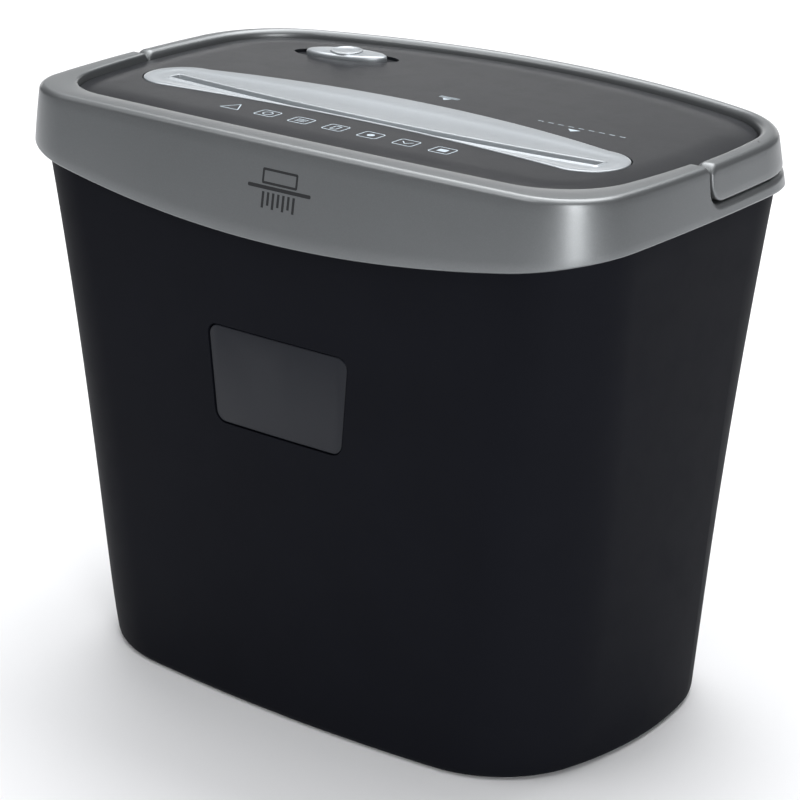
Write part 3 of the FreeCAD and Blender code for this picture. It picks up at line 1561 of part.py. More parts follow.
def make_gears():
    front = (size(FRONT_Y), size(ROLLER_Z))
    rear = (size(REAR_Y), size(ROLLER_Z))
    second = (size(SECOND_Y), size(SECOND_Z))
    first = (size(FIRST_Y), size(FIRST_Z))
    motor = (size(MOTOR_Y), size(MOTOR_Z))
    bore = size("journal_radius")
    near, far = size("sync_near"), size("sync_far")
    module = size("roller_gap") / TEETH["sync"]

    def bored(solid, radius, centre, low, high):
        return solid.cut(round_bar(radius, *centre, low - 1, high + 1))

    front_sync = gear(module, TEETH["sync"], 0, *front, near, far)
    node(shaped("front_sync_solid", bored(front_sync, bore, front, near, far)), "front_sync_gear")
    rear_tooth = meshing(0, 0, TEETH["sync"], TEETH["sync"])
    rear_sync = gear(module, TEETH["sync"], rear_tooth, *rear, near, far)
    node(shaped("rear_sync_solid", bored(rear_sync, bore, rear, near, far)), "rear_sync_gear")

    axle = size("axle_radius + running_gap")
    layer = {
        part: (-size(f"wheel_{part}_far"), -size(f"wheel_{part}_near"))
        for part in ("one", "two", "three")
    }
    output_module = size("output_module")
    middle_module = size("middle_module")
    motor_module = size("motor_module")
    output = gear(output_module, TEETH["output"], 0, *rear, *layer["three"])
    node(shaped("output_solid", bored(output, bore, rear, *layer["three"])), "output_gear")

    up = math.radians(size("second_idler_turn"))
    small_tooth = meshing(up, 0, TEETH["output"], TEETH["small"])
    low, join, high = layer["three"][0], layer["two"][0], layer["two"][1]
    second_small = gear(output_module, TEETH["small"], small_tooth, *second, low, join)
    second_large = gear(middle_module, TEETH["middle"], 0, *second, join, high)
    second_solid = bored(second_small.fuse(second_large), axle, second, low, high)
    node(shaped("second_idler_solid", second_solid), "second_idler_gear")

    down = -math.radians(size("first_idler_turn"))
    small_tooth = meshing(down, 0, TEETH["middle"], TEETH["small"])
    low, join, high = layer["two"][0], layer["one"][0], layer["one"][1]
    first_small = gear(middle_module, TEETH["small"], small_tooth, *first, low, join)
    first_large = gear(motor_module, TEETH["motor"], 0, *first, join, high)
    first_solid = bored(first_small.fuse(first_large), axle, first, low, high)
    node(shaped("first_idler_solid", first_solid), "first_idler_gear")

    along = math.radians(size("motor_turn"))
    small_tooth = meshing(along, 0, TEETH["motor"], TEETH["small"])
    pinion = gear(motor_module, TEETH["small"], small_tooth, *motor, *layer["one"])
    pinion_solid = bored(pinion, size("motor_shaft_radius"), motor, *layer["one"])
    node(shaped("motor_pinion_solid", pinion_solid), "motor_pinion")

    axles = []
    for part, y, z in (("first", FIRST_Y, FIRST_Z), ("second", SECOND_Y, SECOND_Z)):
        axles.append(rod(f"{part}_axle", "x", ("-(cover_near + cover_thick)", y, z),
                         "cover_near + cover_thick - plate_inner", "axle_radius"))
    node(group("axle_set", *axles), "idler_axles")


# -------------------------------------------------------------------- motor


def motor_block(name, x_low, x_high, half_wide, half_tall):
    return block(
        name,
        (x_low, x_high),
        (f"{MOTOR_Y} - ({half_wide})", f"{MOTOR_Y} + ({half_wide})"),
        (f"{MOTOR_Z} - ({half_tall})", f"{MOTOR_Z} + ({half_tall})"),
    )


def motor_rod(name, x_low, length, radius):
    return rod(name, "x", (x_low, MOTOR_Y, MOTOR_Z), length, radius)


def motor_bolt_holes(name, x_low, length):
    return [
        rod(f"{name}_{i}", "x", (x_low, y, z), length, "screw_radius + running_gap")
        for i, (y, z) in enumerate(MOTOR_BOLTS)
    ]


COIL_ROWS = (("lower", -1), ("upper", 1))


def coil_slots(name, grow):
    """The passages through the stack that the two field coils pass."""
    slots = []
    for row, sign in COIL_ROWS:
        middle = f"({MOTOR_Z} + {sign} * coil_out)"
        for side, hand in (("front", -1), ("back", 1)):
            centre = f"({MOTOR_Y} + {hand} * coil_half)"
            slots.append(block(
                f"{name}_{row}_{side}",
                ("-(stack_left + cut_over)", "-(stack_right - cut_over)"),
                (f"{centre} - coil_wide / 2 - ({grow})", f"{centre} + coil_wide / 2 + ({grow})"),
                (f"{middle} - coil_tall / 2 - ({grow})", f"{middle} + coil_tall / 2 + ({grow})"),
            ))
    return slots


def make_motor():
    stack = motor_block("stack", "-stack_left", "-stack_right", "stack_wide / 2", "stack_tall / 2")
    through = ("-(stack_left + cut_past)", "stack_left - stack_right + 2 * cut_past")
    bore = motor_rod("stack_bore", *through, "armature_radius + air_gap")
    node(
        cut("stator", stack, bore, *coil_slots("slot", "slot_slack"), *motor_bolt_holes("stack_bolt", *through)),
        "motor_stator",
    )
    coils = []
    for row, sign in COIL_ROWS:
        middle = f"({MOTOR_Z} + {sign} * coil_out)"
        z_bounds = (f"{middle} - coil_tall / 2", f"{middle} + coil_tall / 2")
        outside = block(
            f"coil_{row}_outside",
            ("-(stack_left + coil_end)", "-(stack_right - coil_end)"),
            (f"{MOTOR_Y} - coil_half - coil_wide / 2", f"{MOTOR_Y} + coil_half + coil_wide / 2"),
            z_bounds,
        )
        inside = block(
            f"coil_{row}_inside",
            ("-(stack_left + coil_end - coil_wide)", "-(stack_right - coil_end + coil_wide)"),
            (f"{MOTOR_Y} - coil_half + coil_wide / 2", f"{MOTOR_Y} + coil_half - coil_wide / 2"),
            (f"{middle} - coil_tall", f"{middle} + coil_tall"),
        )
        coils.append(cut(f"coil_{row}", outside, inside))
    node(group("coil_set", *coils), "field_coils")
    make_brackets()
    make_armature()
    make_brushes()
    bolts = []
    for i, (y, z) in enumerate(MOTOR_BOLTS):
        head = rod(f"motor_bolt_head_{i}", "x", ("-(rear_bracket - bracket_thick)", y, z),
                   "bolt_head_tall", "screw_head")
        shank = rod(f"motor_bolt_shank_{i}", "x", ("-(plate_inner + plate_thick)", y, z),
                    "plate_inner + plate_thick - rear_bracket + bracket_thick", "screw_radius")
        bolts.append(fuse(f"motor_bolt_{i}", head, shank))
    node(group("motor_bolt_set", *bolts), "motor_screws")


def make_brackets():
    """Two moulded end brackets, each a plate on four corner posts."""
    for name, plate_low, plate_high, post_low, post_high in (
        ("motor_front_bracket", "-plate_inner", "-(plate_inner - bracket_thick)",
         "-(plate_inner - bracket_thick)", "-stack_left"),
        ("motor_rear_bracket", "-rear_bracket", "-(rear_bracket - bracket_thick)",
         "-stack_right", "-rear_bracket"),
    ):
        end = motor_block(f"{name}_end", plate_low, plate_high, "stack_wide / 2", "stack_tall / 2")
        posts = []
        for i, (y, z) in enumerate(MOTOR_BOLTS):
            posts.append(block(
                f"{name}_post_{i}",
                (post_low, post_high),
                (f"{y} - bracket_post", f"{y} + bracket_post"),
                (f"{z} - bracket_post", f"{z} + bracket_post"),
            ))
        hub_long = "bracket_hub_long" if "front" in name else "bracket_thick"
        hub = motor_rod(f"{name}_hub", plate_low, hub_long, "bracket_hub")
        bore = motor_rod(
            f"{name}_bore", f"{plate_low} - cut_past", "cut_over / 2", "motor_shaft_radius + running_gap")
        holes = motor_bolt_holes(f"{name}_bolt", f"{plate_low} - 2 * cut_over", "5 * cut_over")
        node(cut(f"{name}_cut", fuse(f"{name}_solid", end, hub, *posts), bore, *holes), name)


def make_armature():
    shaft = motor_rod("armature_bar", "-(wheel_one_far + end_gap)", "wheel_one_far + end_gap - fan_right",
                      "motor_shaft_radius")
    node(shaft, "armature_shaft")
    length = size("stack_left - stack_right")
    left = -size("stack_left")
    y, z = size(MOTOR_Y), size(MOTOR_Z)
    core = round_bar(size("armature_radius"), y, z, left, left + length)
    core = core.cut(round_bar(size("motor_shaft_radius"), y, z, left - 1, left + length + 1))
    wide = size("groove_wide")
    deep = size("groove_deep")
    for k in range(ARMATURE_GROOVES):
        low = Vector(left - 1, y - wide / 2, z + size("armature_radius") - deep)
        groove = Part.makeBox(length + 2, wide, deep + 1, low)
        groove.rotate(Vector(0, y, z), Vector(1, 0, 0), 360 * k / ARMATURE_GROOVES)
        core = core.cut(groove)
    node(shaped("armature_core_solid", core), "armature_core")
    copper = turned("commutator_ring", [
        ("0", "motor_shaft_radius"),
        ("commutator_long", "motor_shaft_radius"),
        ("commutator_long", "commutator_radius"),
        ("riser_long", "commutator_radius"),
        ("0", "commutator_radius + riser_out"),
    ], "x", ("-(stack_right - coil_end + 2 * cut_past)", MOTOR_Y, MOTOR_Z))
    node(copper, "commutator")
    hub_left = -size("fan_left")
    hub_long = size("fan_left - fan_right")
    hub = round_bar(size("fan_hub"), y, z, hub_left, hub_left + hub_long)
    back = round_bar(size("fan_radius"), y, z, hub_left, hub_left + size("fan_disc"))
    thick = size("blade_thick")
    root = size("blade_root")
    blades = []
    for k in range(COOLING_BLADES):
        blade = Part.makeBox(hub_long, thick, size("fan_radius") - root, Vector(hub_left, y - thick / 2, z + root))
        blade.rotate(Vector(0, y, z), Vector(1, 0, 0), 360 * k / COOLING_BLADES)
        blades.append(blade)
    fan = hub.multiFuse([back, *blades]).cut(
        round_bar(size("motor_shaft_radius"), y, z, hub_left - 1, hub_left + hub_long + 1))
    node(shaped("fan_solid", fan.removeSplitter()), "cooling_fan")


def make_brushes():
    holders = []
    brushes = []
    for side, sign in (("front", -1), ("back", 1)):
        near = f"{MOTOR_Y} + {sign} * (commutator_radius + brush_gap)"
        rim = f"{MOTOR_Y} + {sign} * (commutator_radius + holder_gap)"
        far = f"{MOTOR_Y} + {sign} * (stack_wide / 2 - holder_inset)"
        end = f"{MOTOR_Y} + {sign} * (commutator_radius + brush_out)"
        holder_y = (far, rim) if sign < 0 else (rim, far)
        brush_y = (end, near) if sign < 0 else (near, end)
        box = block(
            f"brush_box_{side}",
            ("-(rear_bracket + holder_long)", "-rear_bracket"),
            holder_y,
            (f"{MOTOR_Z} - holder_half", f"{MOTOR_Z} + holder_half"),
        )
        passage = block(
            f"brush_lane_{side}",
            ("-(rear_bracket + brush_far + brush_slack)", "-(rear_bracket + brush_near - brush_slack)"),
            (f"{holder_y[0]} - cut_past", f"{holder_y[1]} + cut_past"),
            (f"{MOTOR_Z} - brush_half - brush_slack", f"{MOTOR_Z} + brush_half + brush_slack"),
        )
        holders.append(cut(f"brush_holder_{side}", box, passage))
        brushes.append(block(
            f"brush_{side}",
            ("-(rear_bracket + brush_far)", "-(rear_bracket + brush_near)"),
            brush_y,
            (f"{MOTOR_Z} - brush_half", f"{MOTOR_Z} + brush_half"),
        ))
    node(group("brush_holder_set", *holders), "brush_holders")
    node(group("brush_set", *brushes), "carbon_brushes")


# --------------------------------------------------------------- electrics


def on_board(name):
    """A case standing on the circuit board."""
    x_step, y_step, long, deep, tall = BOARD_CASES[name]
    top = f"({BOARD_LOW} + board_thick)"
    return block(
        f"{name}_case",
        (f"board_left + {x_step}", f"board_left + {x_step + long}"),
        (f"board_front + {y_step}", f"board_front + {y_step + deep}"),
        (top, f"{top} + {tall}"),
    )


def make_board():
    holes = [
        rod(f"board_hole_{i}", "z", (x, y, f"{BOARD_LOW} - cut_past"), "board_thick + 2 * cut_past",
            "screw_radius + running_gap")
        for i, (x, y) in enumerate(BOARD_SCREWS)
    ]
    panel = block("board_blank", ("board_left", "board_left + board_long"),
                  ("board_front", "board_front + board_deep"), (BOARD_LOW, f"{BOARD_LOW} + board_thick"))
    node(cut("board", panel, *holes), "circuit_board")
    node(on_board("relay"), "relay")
    node(on_board("capacitor"), "filter_capacitor")
    way_z = f"{BOARD_LOW} + board_thick + way_rise"
    ways = [
        rod(f"terminal_way_{i}", "y", (f"board_left + way_right + {i} * way_pitch", "board_front + way_back", way_z),
            "way_long", "way_radius")
        for i in range(2)
    ]
    node(cut("terminals", on_board("terminals"), *ways), "terminal_block")
    fuse_y = "board_front + fuse_back"
    tube_z = f"{BOARD_LOW} + board_thick + fuse_rise"
    bore = rod("fuse_bore", "x", ("board_left + fuse_right - 3 * cut_past", fuse_y, tube_z),
               "fuse_long + 6 * cut_past", "fuse_radius + brush_slack")
    clips = group("fuse_clip_pair", on_board("left_clip"), on_board("right_clip"))
    node(cut("fuse_clips", clips, bore), "fuse_holder")
    tube = rod("fuse_tube", "x", ("board_left + fuse_right", fuse_y, tube_z), "fuse_long", "fuse_radius")
    node(tube, "glass_fuse")
    cutout_low = f"{MOTOR_Z} + stack_tall / 2"
    cutout = block(
        "cutout_case",
        ("-(stack_left - cutout_near)", "-(stack_left - cutout_far)"),
        (f"{MOTOR_Y} - cutout_half", f"{MOTOR_Y} + cutout_half"),
        (cutout_low, f"{cutout_low} + cutout_tall"),
    )
    node(cutout, "thermal_cutout")


def make_gland():
    """A rubber grommet that passes the band and the housing wall."""
    length = "gland_long"
    profile = [
        ("0", "cord_bore"),
        (length, "cord_bore"),
        (length, "gland_radius"),
        (f"{length} - gland_round", "gland_radius + gland_flange"),
        (f"{length} - gland_flange_thick", "gland_radius + gland_flange"),
        (f"{length} - gland_flange_thick", "gland_radius - fit_gap"),
        ("0", "gland_radius - fit_gap"),
    ]
    node(turned("gland_solid", profile, "y", ("gland_x", GLAND_INNER, GLAND_Z)), "cord_gland")


# ------------------------------------------------ paper sensor and interlock


def make_start_lever():
    """A finger across the throat that the paper's edge pushes down."""
    tip_y = f"{LEVER_Y} - lever_finger"
    finger = plate(
        "lever_finger",
        "YZ_Plane",
        "-lever_half",
        "2 * lever_half",
        [
            (f"{LEVER_Y} + lever_thick", f"{LEVER_Z} - lever_thick"),
            (f"{LEVER_Y} + lever_thick", f"{LEVER_Z} + lever_thick"),
            (f"{LEVER_Y} - lever_thick", f"{LEVER_Z} + lever_thick"),
            (tip_y, f"{LEVER_Z} + 2 * lever_thick / 3"),
            (tip_y, LEVER_Z),
            (f"{LEVER_Y} - 2 * lever_thick", f"{LEVER_Z} - lever_thick"),
        ],
    )
    tail = plate(
        "lever_tail",
        "YZ_Plane",
        "-lever_half",
        "2 * lever_half",
        [
            (f"{LEVER_Y} + lever_thick / 3", f"{LEVER_Z} - lever_thick"),
            (f"{LEVER_Y} + lever_tail", f"{LEVER_Z} - lever_thick + 2 * rooted"),
            (f"{LEVER_Y} + lever_tail", f"{LEVER_Z} - rooted"),
            (f"{LEVER_Y} + lever_thick / 3", f"{LEVER_Z} + lever_thick"),
        ],
    )
    bore = rod("lever_bore", "x", ("-(lever_half + cut_past)", LEVER_Y, LEVER_Z), "2 * (lever_half + cut_past)",
               "lever_pin + running_gap")
    node(cut("lever", fuse("lever_solid", finger, tail), bore), "start_lever")
    pin_half = "(lever_half + cheek_out + cheek_thick)"
    pin = rod("lever_pin_bar", "x", (f"-{pin_half}", LEVER_Y, LEVER_Z), f"2 * {pin_half}", "lever_pin")
    node(pin, "lever_pivot_pin")
    case = block(
        "start_switch_case",
        mirrored("start_case_half"),
        (f"{LEVER_Y} + start_case_near", f"{LEVER_Y} + start_case_near + start_case_long"),
        (f"{LEVER_Z} + start_case_rise", f"{LEVER_Z} + start_case_rise + start_case_tall"),
    )
    node(case, "start_switch")


def make_interlock():
    """The safety switch that the bin's rim holds closed."""
    y_bounds = ("-plunger_front - plunger_half", "-plunger_front + plunger_half")
    blade_x = (f"{RIM_X} - plunger_far", f"{RIM_X} - plunger_near")
    blade = block("plunger_blade", blade_x, y_bounds, ("bin_height", "bin_height + plunger_tall"))
    node(blade, "interlock_plunger")
    case = block(
        "interlock_blank",
        (f"{RIM_X} - interlock_far", f"{RIM_X} - interlock_near"),
        ("-plunger_front - interlock_half", "-plunger_front + interlock_half"),
        (FLANGE_TOP, f"{FLANGE_TOP} + interlock_tall"),
    )
    well = block(
        "interlock_well",
        (f"{RIM_X} - plunger_far - plunger_slack", f"{RIM_X} - plunger_near + plunger_slack"),
        ("-plunger_front - plunger_half - plunger_slack", "-plunger_front + plunger_half + plunger_slack"),
        (f"{FLANGE_TOP} - cut_past", "bin_height + plunger_tall + cut_past"),
    )
    node(cut("interlock_case", case, well), "interlock_switch")


# The outer face of the bin's rim beside the interlock.
RIM_X = "(mouth_half - plunger_front * plunger_front / (2 * mouth_side_bow))"


# ------------------------------------------------------------ build and write


def check_document():
    """Stop if any object failed to rebuild or any piece has no sound shape."""
    doc.recompute()
    faults = [thing.Name for thing in doc.Objects if {"Invalid", "Error"} & set(thing.State)]
    for thing in NODES:
        if thing.Shape.isNull() or not thing.Shape.isValid() or not thing.Shape.Solids:
            faults.append(thing.Label)
    if faults:
        raise RuntimeError(f"these did not build: {', '.join(faults)}")


def write_pieces():
    os.makedirs("parts", exist_ok=True)
    for thing in NODES:
        thing.Shape.exportStep(f"parts/{thing.Label}.step")


make_bin()
make_band()
make_bezel()
make_top_panel()
make_switch()
make_housing()
make_screws()
make_frame()
make_guides()
make_roller("front", FRONT_Y, True)
make_roller("rear", REAR_Y, False)
make_comb("front_stripper_comb", True)
make_comb("rear_stripper_comb", False)
make_gears()
make_motor()
make_board()
make_gland()
make_start_lever()
make_interlock()
check_document()
write_pieces()
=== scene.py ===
"""A desk-side paper shredder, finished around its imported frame."""

import json
import math

import bmesh
import bpy
from bpy.props import FloatProperty, FloatVectorProperty, PointerProperty
from mathutils import Matrix, Vector


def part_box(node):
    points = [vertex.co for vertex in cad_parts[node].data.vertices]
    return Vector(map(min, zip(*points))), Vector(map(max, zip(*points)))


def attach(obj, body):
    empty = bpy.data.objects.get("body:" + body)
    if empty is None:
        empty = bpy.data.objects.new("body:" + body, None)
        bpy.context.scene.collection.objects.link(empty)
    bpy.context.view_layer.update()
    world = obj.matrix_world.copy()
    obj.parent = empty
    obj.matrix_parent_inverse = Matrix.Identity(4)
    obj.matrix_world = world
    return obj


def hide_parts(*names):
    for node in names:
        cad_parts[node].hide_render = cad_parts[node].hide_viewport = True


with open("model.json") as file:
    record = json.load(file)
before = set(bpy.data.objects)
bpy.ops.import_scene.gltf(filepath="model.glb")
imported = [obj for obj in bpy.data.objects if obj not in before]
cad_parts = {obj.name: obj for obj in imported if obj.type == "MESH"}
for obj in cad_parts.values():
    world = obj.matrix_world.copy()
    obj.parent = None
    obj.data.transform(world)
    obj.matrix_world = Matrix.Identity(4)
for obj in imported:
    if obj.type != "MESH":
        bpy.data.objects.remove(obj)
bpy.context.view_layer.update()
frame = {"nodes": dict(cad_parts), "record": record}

bl_info = {
    "name": "Paper Shredder",
    "version": (1, 0, 0),
    "blender": (4, 5, 0),
    "location": "3D View > Sidebar > Shredder",
    "description": "Builds the casing, finishes and stage of a desk-side paper shredder",
    "category": "Add Mesh",
}

MM = 0.001
MERGE = 0.001 * MM

# Each outline is a closed D of eight tangent arcs. Its sizes are the reach to the
# side, front and back, the bow of each, and the turn of the front and back corners.
OUTLINES = {
    "foot": (133.0, 93.0, 80.0, 778.0, 420.0, 156.0, 54.0, 54.0),
    "mouth": (149.4, 99.6, 98.4, 3000.0, 345.0, 1500.0, 37.0, 50.0),
    "skirt": (155.6, 105.8, 105.8, 2316.0, 350.0, 990.0, 41.0, 54.0),
    "rim": (151.35, 99.7, 98.3, 4855.0, 324.0, 577.0, 30.5, 53.6),
    "panel": (142.7, 87.25, 91.5, 4780.0, 323.0, 336.0, 34.4, 44.3),
}


# -------------------- sizes and colours


def length(name, description, millimetres):
    return FloatProperty(name=name, description=description, default=millimetres * MM,
                         unit="LENGTH", subtype="DISTANCE", precision=5)


def colour(name, description, red, green, blue):
    return FloatVectorProperty(name=name, description=description, default=(red, green, blue),
                               size=3, min=0, max=1, subtype="COLOR")


class ShredderSizes(bpy.types.PropertyGroup):
    """Sizes that a user of the model would change"""

    bin_height: length("Bin height", "Floor to the bin's mouth", 236.0)
    bin_flare: FloatProperty(name="Bin flare", description="How late the wall flares out", default=0.485)
    bin_wall: length("Bin wall", "Thickness of the bin's wall", 2.2)
    bin_floor: length("Bin floor", "Thickness of the bin's floor", 2.6)
    foot_round: length("Foot round", "Rounding of the bin's foot", 4.0)
    window_middle: length("Window middle", "Height of the window's middle", 152.3)
    window_tall: length("Window height", "Height of the window", 43.0)
    window_top: length("Window top", "Half width of the window's top", 36.8)
    window_foot: length("Window foot", "Half width of the window's foot", 33.0)
    window_gap: length("Window seam", "Seam round the window", 0.5)
    skirt_low: length("Skirt foot", "Lowest point of the band's skirt", 217.5)
    skirt_rise: length("Skirt rise", "How far the skirt's edge rises to the sides", 17.3)
    rim_top: length("Rim top", "Height of the rim", 258.2)
    rim_round: length("Rim round", "Rounding of the rim's outer edge", 2.4)
    band_wall: length("Band wall", "Thickness of the band", 2.2)
    ledge_top: length("Ledge", "Height of the ledge under the handle", 241.8)
    step_front: length("Rim step", "Where the rim steps down for the handle", -16.5)
    step_round: length("Step round", "Curve at the foot of the rim's step", 8.6)
    handle_front: length("Handle front", "Front end of the carry handle", -14.0)
    handle_half: length("Handle half height", "Half the carry handle's height", 7.8)
    handle_round: length("Handle round", "Rounding along the outside of the handle's top", 3.0)
    handle_inner: length("Handle inner round", "Rounding along the inside of the handle's top", 3.1)
    panel_top: length("Panel top", "Height of the top panel", 256.2)
    panel_low: length("Panel foot", "Lower edge of the panel's side", 239.8)
    panel_crown: length("Panel crown", "How far the panel falls away at its edge", 1.3)
    panel_slope: length("Panel slope", "How far in the panel's fall begins", 17.0)
    bezel_above: length("Bezel proud", "How far the bezel stands above the panel", 0.3)
    bezel_gap: length("Bezel seam", "Seam round the bezel", 0.55)
    throat_y: length("Throat", "Middle line of the paper slot", -32.4)
    throat_half: length("Throat half length", "Half the paper slot's length", 111.0)
    throat_half_wide: length("Throat half width", "Half the paper slot's width", 3.0)
    switch_x: length("Switch across", "Middle of the switch", -77.0)
    switch_y: length("Switch back", "Middle of the switch", 47.5)
    recess_half: length("Recess half length", "Half the switch recess", 25.6)
    recess_wide: length("Recess half width", "Half the recess's width", 9.3)
    recess_deep: length("Recess depth", "Depth of the switch recess", 1.4)
    knob_half: length("Knob half length", "Half the knob", 19.6)
    knob_wide: length("Knob half width", "Half the knob's width", 8.3)
    thumb_radius: length("Thumb dish", "Radius of the dish in the knob", 7.6)
    print_thick: length("Ink thickness", "Thickness of printed marks", 0.05)


class ShredderColours(bpy.types.PropertyGroup):
    """Colours that a user of the model would change"""

    bin: colour("Bin", "Matt moulded bin", 0.0058, 0.0064, 0.0094)
    window: colour("Window", "Smoked window", 0.0085, 0.0100, 0.0150)
    band: colour("Band", "Silver-grey paint of band and handle", 0.205, 0.215, 0.221)
    panel: colour("Panel", "Dark grey top panel", 0.0085, 0.0098, 0.0130)
    bezel: colour("Bezel", "Light silver of bezel and knob", 0.430, 0.460, 0.485)
    ink: colour("Ink", "Pale printed marks", 0.520, 0.600, 0.660)
    dark_ink: colour("Dark ink", "Dark printed mark", 0.012, 0.013, 0.015)
    floor: colour("Floor", "Pale floor", 0.860, 0.865, 0.880)


def sizes():
    return bpy.context.scene.shredder_sizes


def colours():
    return bpy.context.scene.shredder_colours


# -------------------- outline maths

# Between these two places along a side the columns stand at fixed distances.
FIXED_FRONT = 35.0 * MM
FIXED_BACK = 30.0 * MM


def shape_of(name, inset=0.0):
    """An outline's eight sizes, drawn inside it by inset."""
    return [value * MM - inset for value in OUTLINES[name]]


def blend_shapes(first, last, share):
    return [a + (b - a) * share for a, b in zip(first, last)]


def bin_shape(z, inset=0.0):
    """The bin's outline at a height: it flares faster near the mouth."""
    part = z / sizes().bin_height
    share = part + sizes().bin_flare * (part * part - part)
    return blend_shapes(shape_of("foot", inset), shape_of("mouth", inset), share)


def band_shape(z, inset=0.0):
    """The band's outline at a height."""
    share = (z - sizes().skirt_low) / (sizes().rim_top - sizes().skirt_low)
    return blend_shapes(shape_of("skirt", inset), shape_of("rim", inset), share)


def turn_point(centre, radius, angle):
    return centre + Vector((math.cos(angle), math.sin(angle))) * radius


def corner_centre(reach, bow, half, side_bow, turn):
    """Centre of the arc that touches both the end arc and the side arc."""
    end = Vector((0, reach - bow))
    side = Vector((half - side_bow, 0))
    span = side - end
    end_radius = bow - turn
    side_radius = side_bow - turn
    along = (span.length_squared + end_radius ** 2 - side_radius ** 2) / (2 * span.length)
    across = math.sqrt(end_radius ** 2 - along ** 2)
    forward = span.normalized()
    sideways = Vector((-forward.y, forward.x))
    options = [end + forward * along + sideways * across * sign for sign in (1, -1)]
    return max(options, key=lambda point: min(point.x, point.y))


def point_on(shape, column):
    """Where a column of the mesh meets an outline."""
    stretch, end, share, hand = column
    half, front, back, front_bow, back_bow, side_bow, front_turn, back_turn = shape
    if stretch == "middle":
        return Vector((hand * (half - side_bow + math.sqrt(side_bow ** 2 - share ** 2)), share))
    reach, bow, turn = (back, back_bow, back_turn) if end > 0 else (front, front_bow, front_turn)
    centre = corner_centre(reach, bow, half, side_bow, turn)
    end_angle = math.atan2(centre.y - reach + bow, centre.x)
    side_angle = math.atan2(centre.y, centre.x - half + side_bow)
    if stretch == "end":
        point = turn_point(Vector((0, reach - bow)), bow, math.pi / 2 + (end_angle - math.pi / 2) * share)
    elif stretch == "corner":
        point = turn_point(centre, turn, end_angle + (side_angle - end_angle) * share)
    else:
        start = centre.y + turn * math.sin(side_angle)
        y = start + ((FIXED_BACK if end > 0 else FIXED_FRONT) - start) * share
        point = Vector((half - side_bow + math.sqrt(side_bow ** 2 - y ** 2), y))
    return Vector((hand * point.x, end * point.y))


END_STEPS = 26
CORNER_STEPS = 26
SIDE_STEPS = 5


def step_ys():
    """Places along the side, close together at the rim's step and the handle's end."""
    front = sizes().step_front
    turns = [k * math.pi / 20 for k in range(1, 11)]
    curve = [front + sizes().step_round * (1 - math.cos(turn)) for turn in turns]
    edge = [front - 2.2 * MM, front - 1.2 * MM, front - 0.5 * MM, front - 0.15 * MM, front - 0.02 * MM, front]
    return [-FIXED_FRONT, -28 * MM, -22 * MM, *edge, *curve, 0.0, 8 * MM, 16 * MM, 23 * MM, FIXED_BACK]


def half_columns(hand):
    """Columns from the middle of the front to the middle of the back."""
    ends = [("end", -1, k / END_STEPS, hand) for k in range(END_STEPS + 1)]
    corners = [("corner", -1, k / CORNER_STEPS, hand) for k in range(1, CORNER_STEPS + 1)]
    sides = [("side", -1, k / SIDE_STEPS, hand) for k in range(1, SIDE_STEPS)]
    middle = [("middle", 0, y, hand) for y in step_ys()]
    back = [(stretch, 1, share, hand) for stretch, _, share, _ in reversed(ends + corners + sides)]
    return ends + corners + sides + middle + back


def ring_columns():
    """Columns all the way round, anticlockwise from the middle of the front."""
    return half_columns(1) + list(reversed(half_columns(-1)))[1:-1]


def handle_ys():
    """Places along the side, close together where the handle's end is rounded."""
    front = sizes().handle_front
    reach = sizes().handle_half
    turns = [k * math.pi / 32 for k in range(1, 17)]
    return [front, *[front + reach * (1 - math.cos(turn)) for turn in turns],
            0.0, 8 * MM, 16 * MM, 23 * MM, FIXED_BACK]


def handle_columns():
    """Columns from the handle's right end, round the back to its left end."""
    def half(hand):
        middle = [("middle", 0, y, hand) for y in handle_ys()]
        return middle + [column for column in half_columns(hand) if column[1] > 0]
    return half(1) + list(reversed(half(-1)))[1:]


def quarter(steps, first=0.0, last=math.pi / 2):
    return [first + (last - first) * k / steps for k in range(steps + 1)]


# -------------------- mesh tools


def sweep(columns, profile, closed_ring=True, closed_profile=True):
    """Extrudes a cross-section from column to column."""
    bm = bmesh.new()
    section = [bm.verts.new(point) for point in profile(columns[0])]
    edges = [bm.edges.new(pair) for pair in zip(section, section[1:])]
    if closed_profile:
        edges.append(bm.edges.new((section[-1], section[0])))
    first_edges = list(edges)
    for column in columns[1:]:
        made = bmesh.ops.extrude_edge_only(bm, edges=edges)["geom"]
        fresh = {item for item in made if isinstance(item, bmesh.types.BMVert)}
        following = []
        for vert in section:
            following.append(next(e.other_vert(vert) for e in vert.link_edges if e.other_vert(vert) in fresh))
        for vert, point in zip(following, profile(column)):
            vert.co = point
        section = following
        edges = [item for item in made if isinstance(item, bmesh.types.BMEdge)
                 and item.verts[0] in fresh and item.verts[1] in fresh]
    if closed_ring:
        bmesh.ops.bridge_loops(bm, edges=first_edges + edges)
    bmesh.ops.holes_fill(bm, edges=bm.edges, sides=0)
    bmesh.ops.recalc_face_normals(bm, faces=bm.faces)
    return bm


def extrude_up(bm, face, vector):
    """Extrudes a flat face into a closed solid."""
    made = bmesh.ops.extrude_face_region(bm, geom=[face])["geom"]
    moved = [item for item in made if isinstance(item, bmesh.types.BMVert)]
    bmesh.ops.translate(bm, verts=moved, vec=vector)
    bmesh.ops.recalc_face_normals(bm, faces=bm.faces)
    return bm


def prism(points, vector):
    """A solid from a flat outline carried along a vector."""
    bm = bmesh.new()
    face = bm.faces.new([bm.verts.new(point) for point in points])
    return extrude_up(bm, face, vector)


def cuboid(low, high):
    low = Vector(low)
    high = Vector(high)
    bm = bmesh.new()
    bmesh.ops.create_cube(bm, size=1)
    bmesh.ops.scale(bm, verts=bm.verts, vec=high - low)
    bmesh.ops.translate(bm, verts=bm.verts, vec=(low + high) / 2)
    return bm


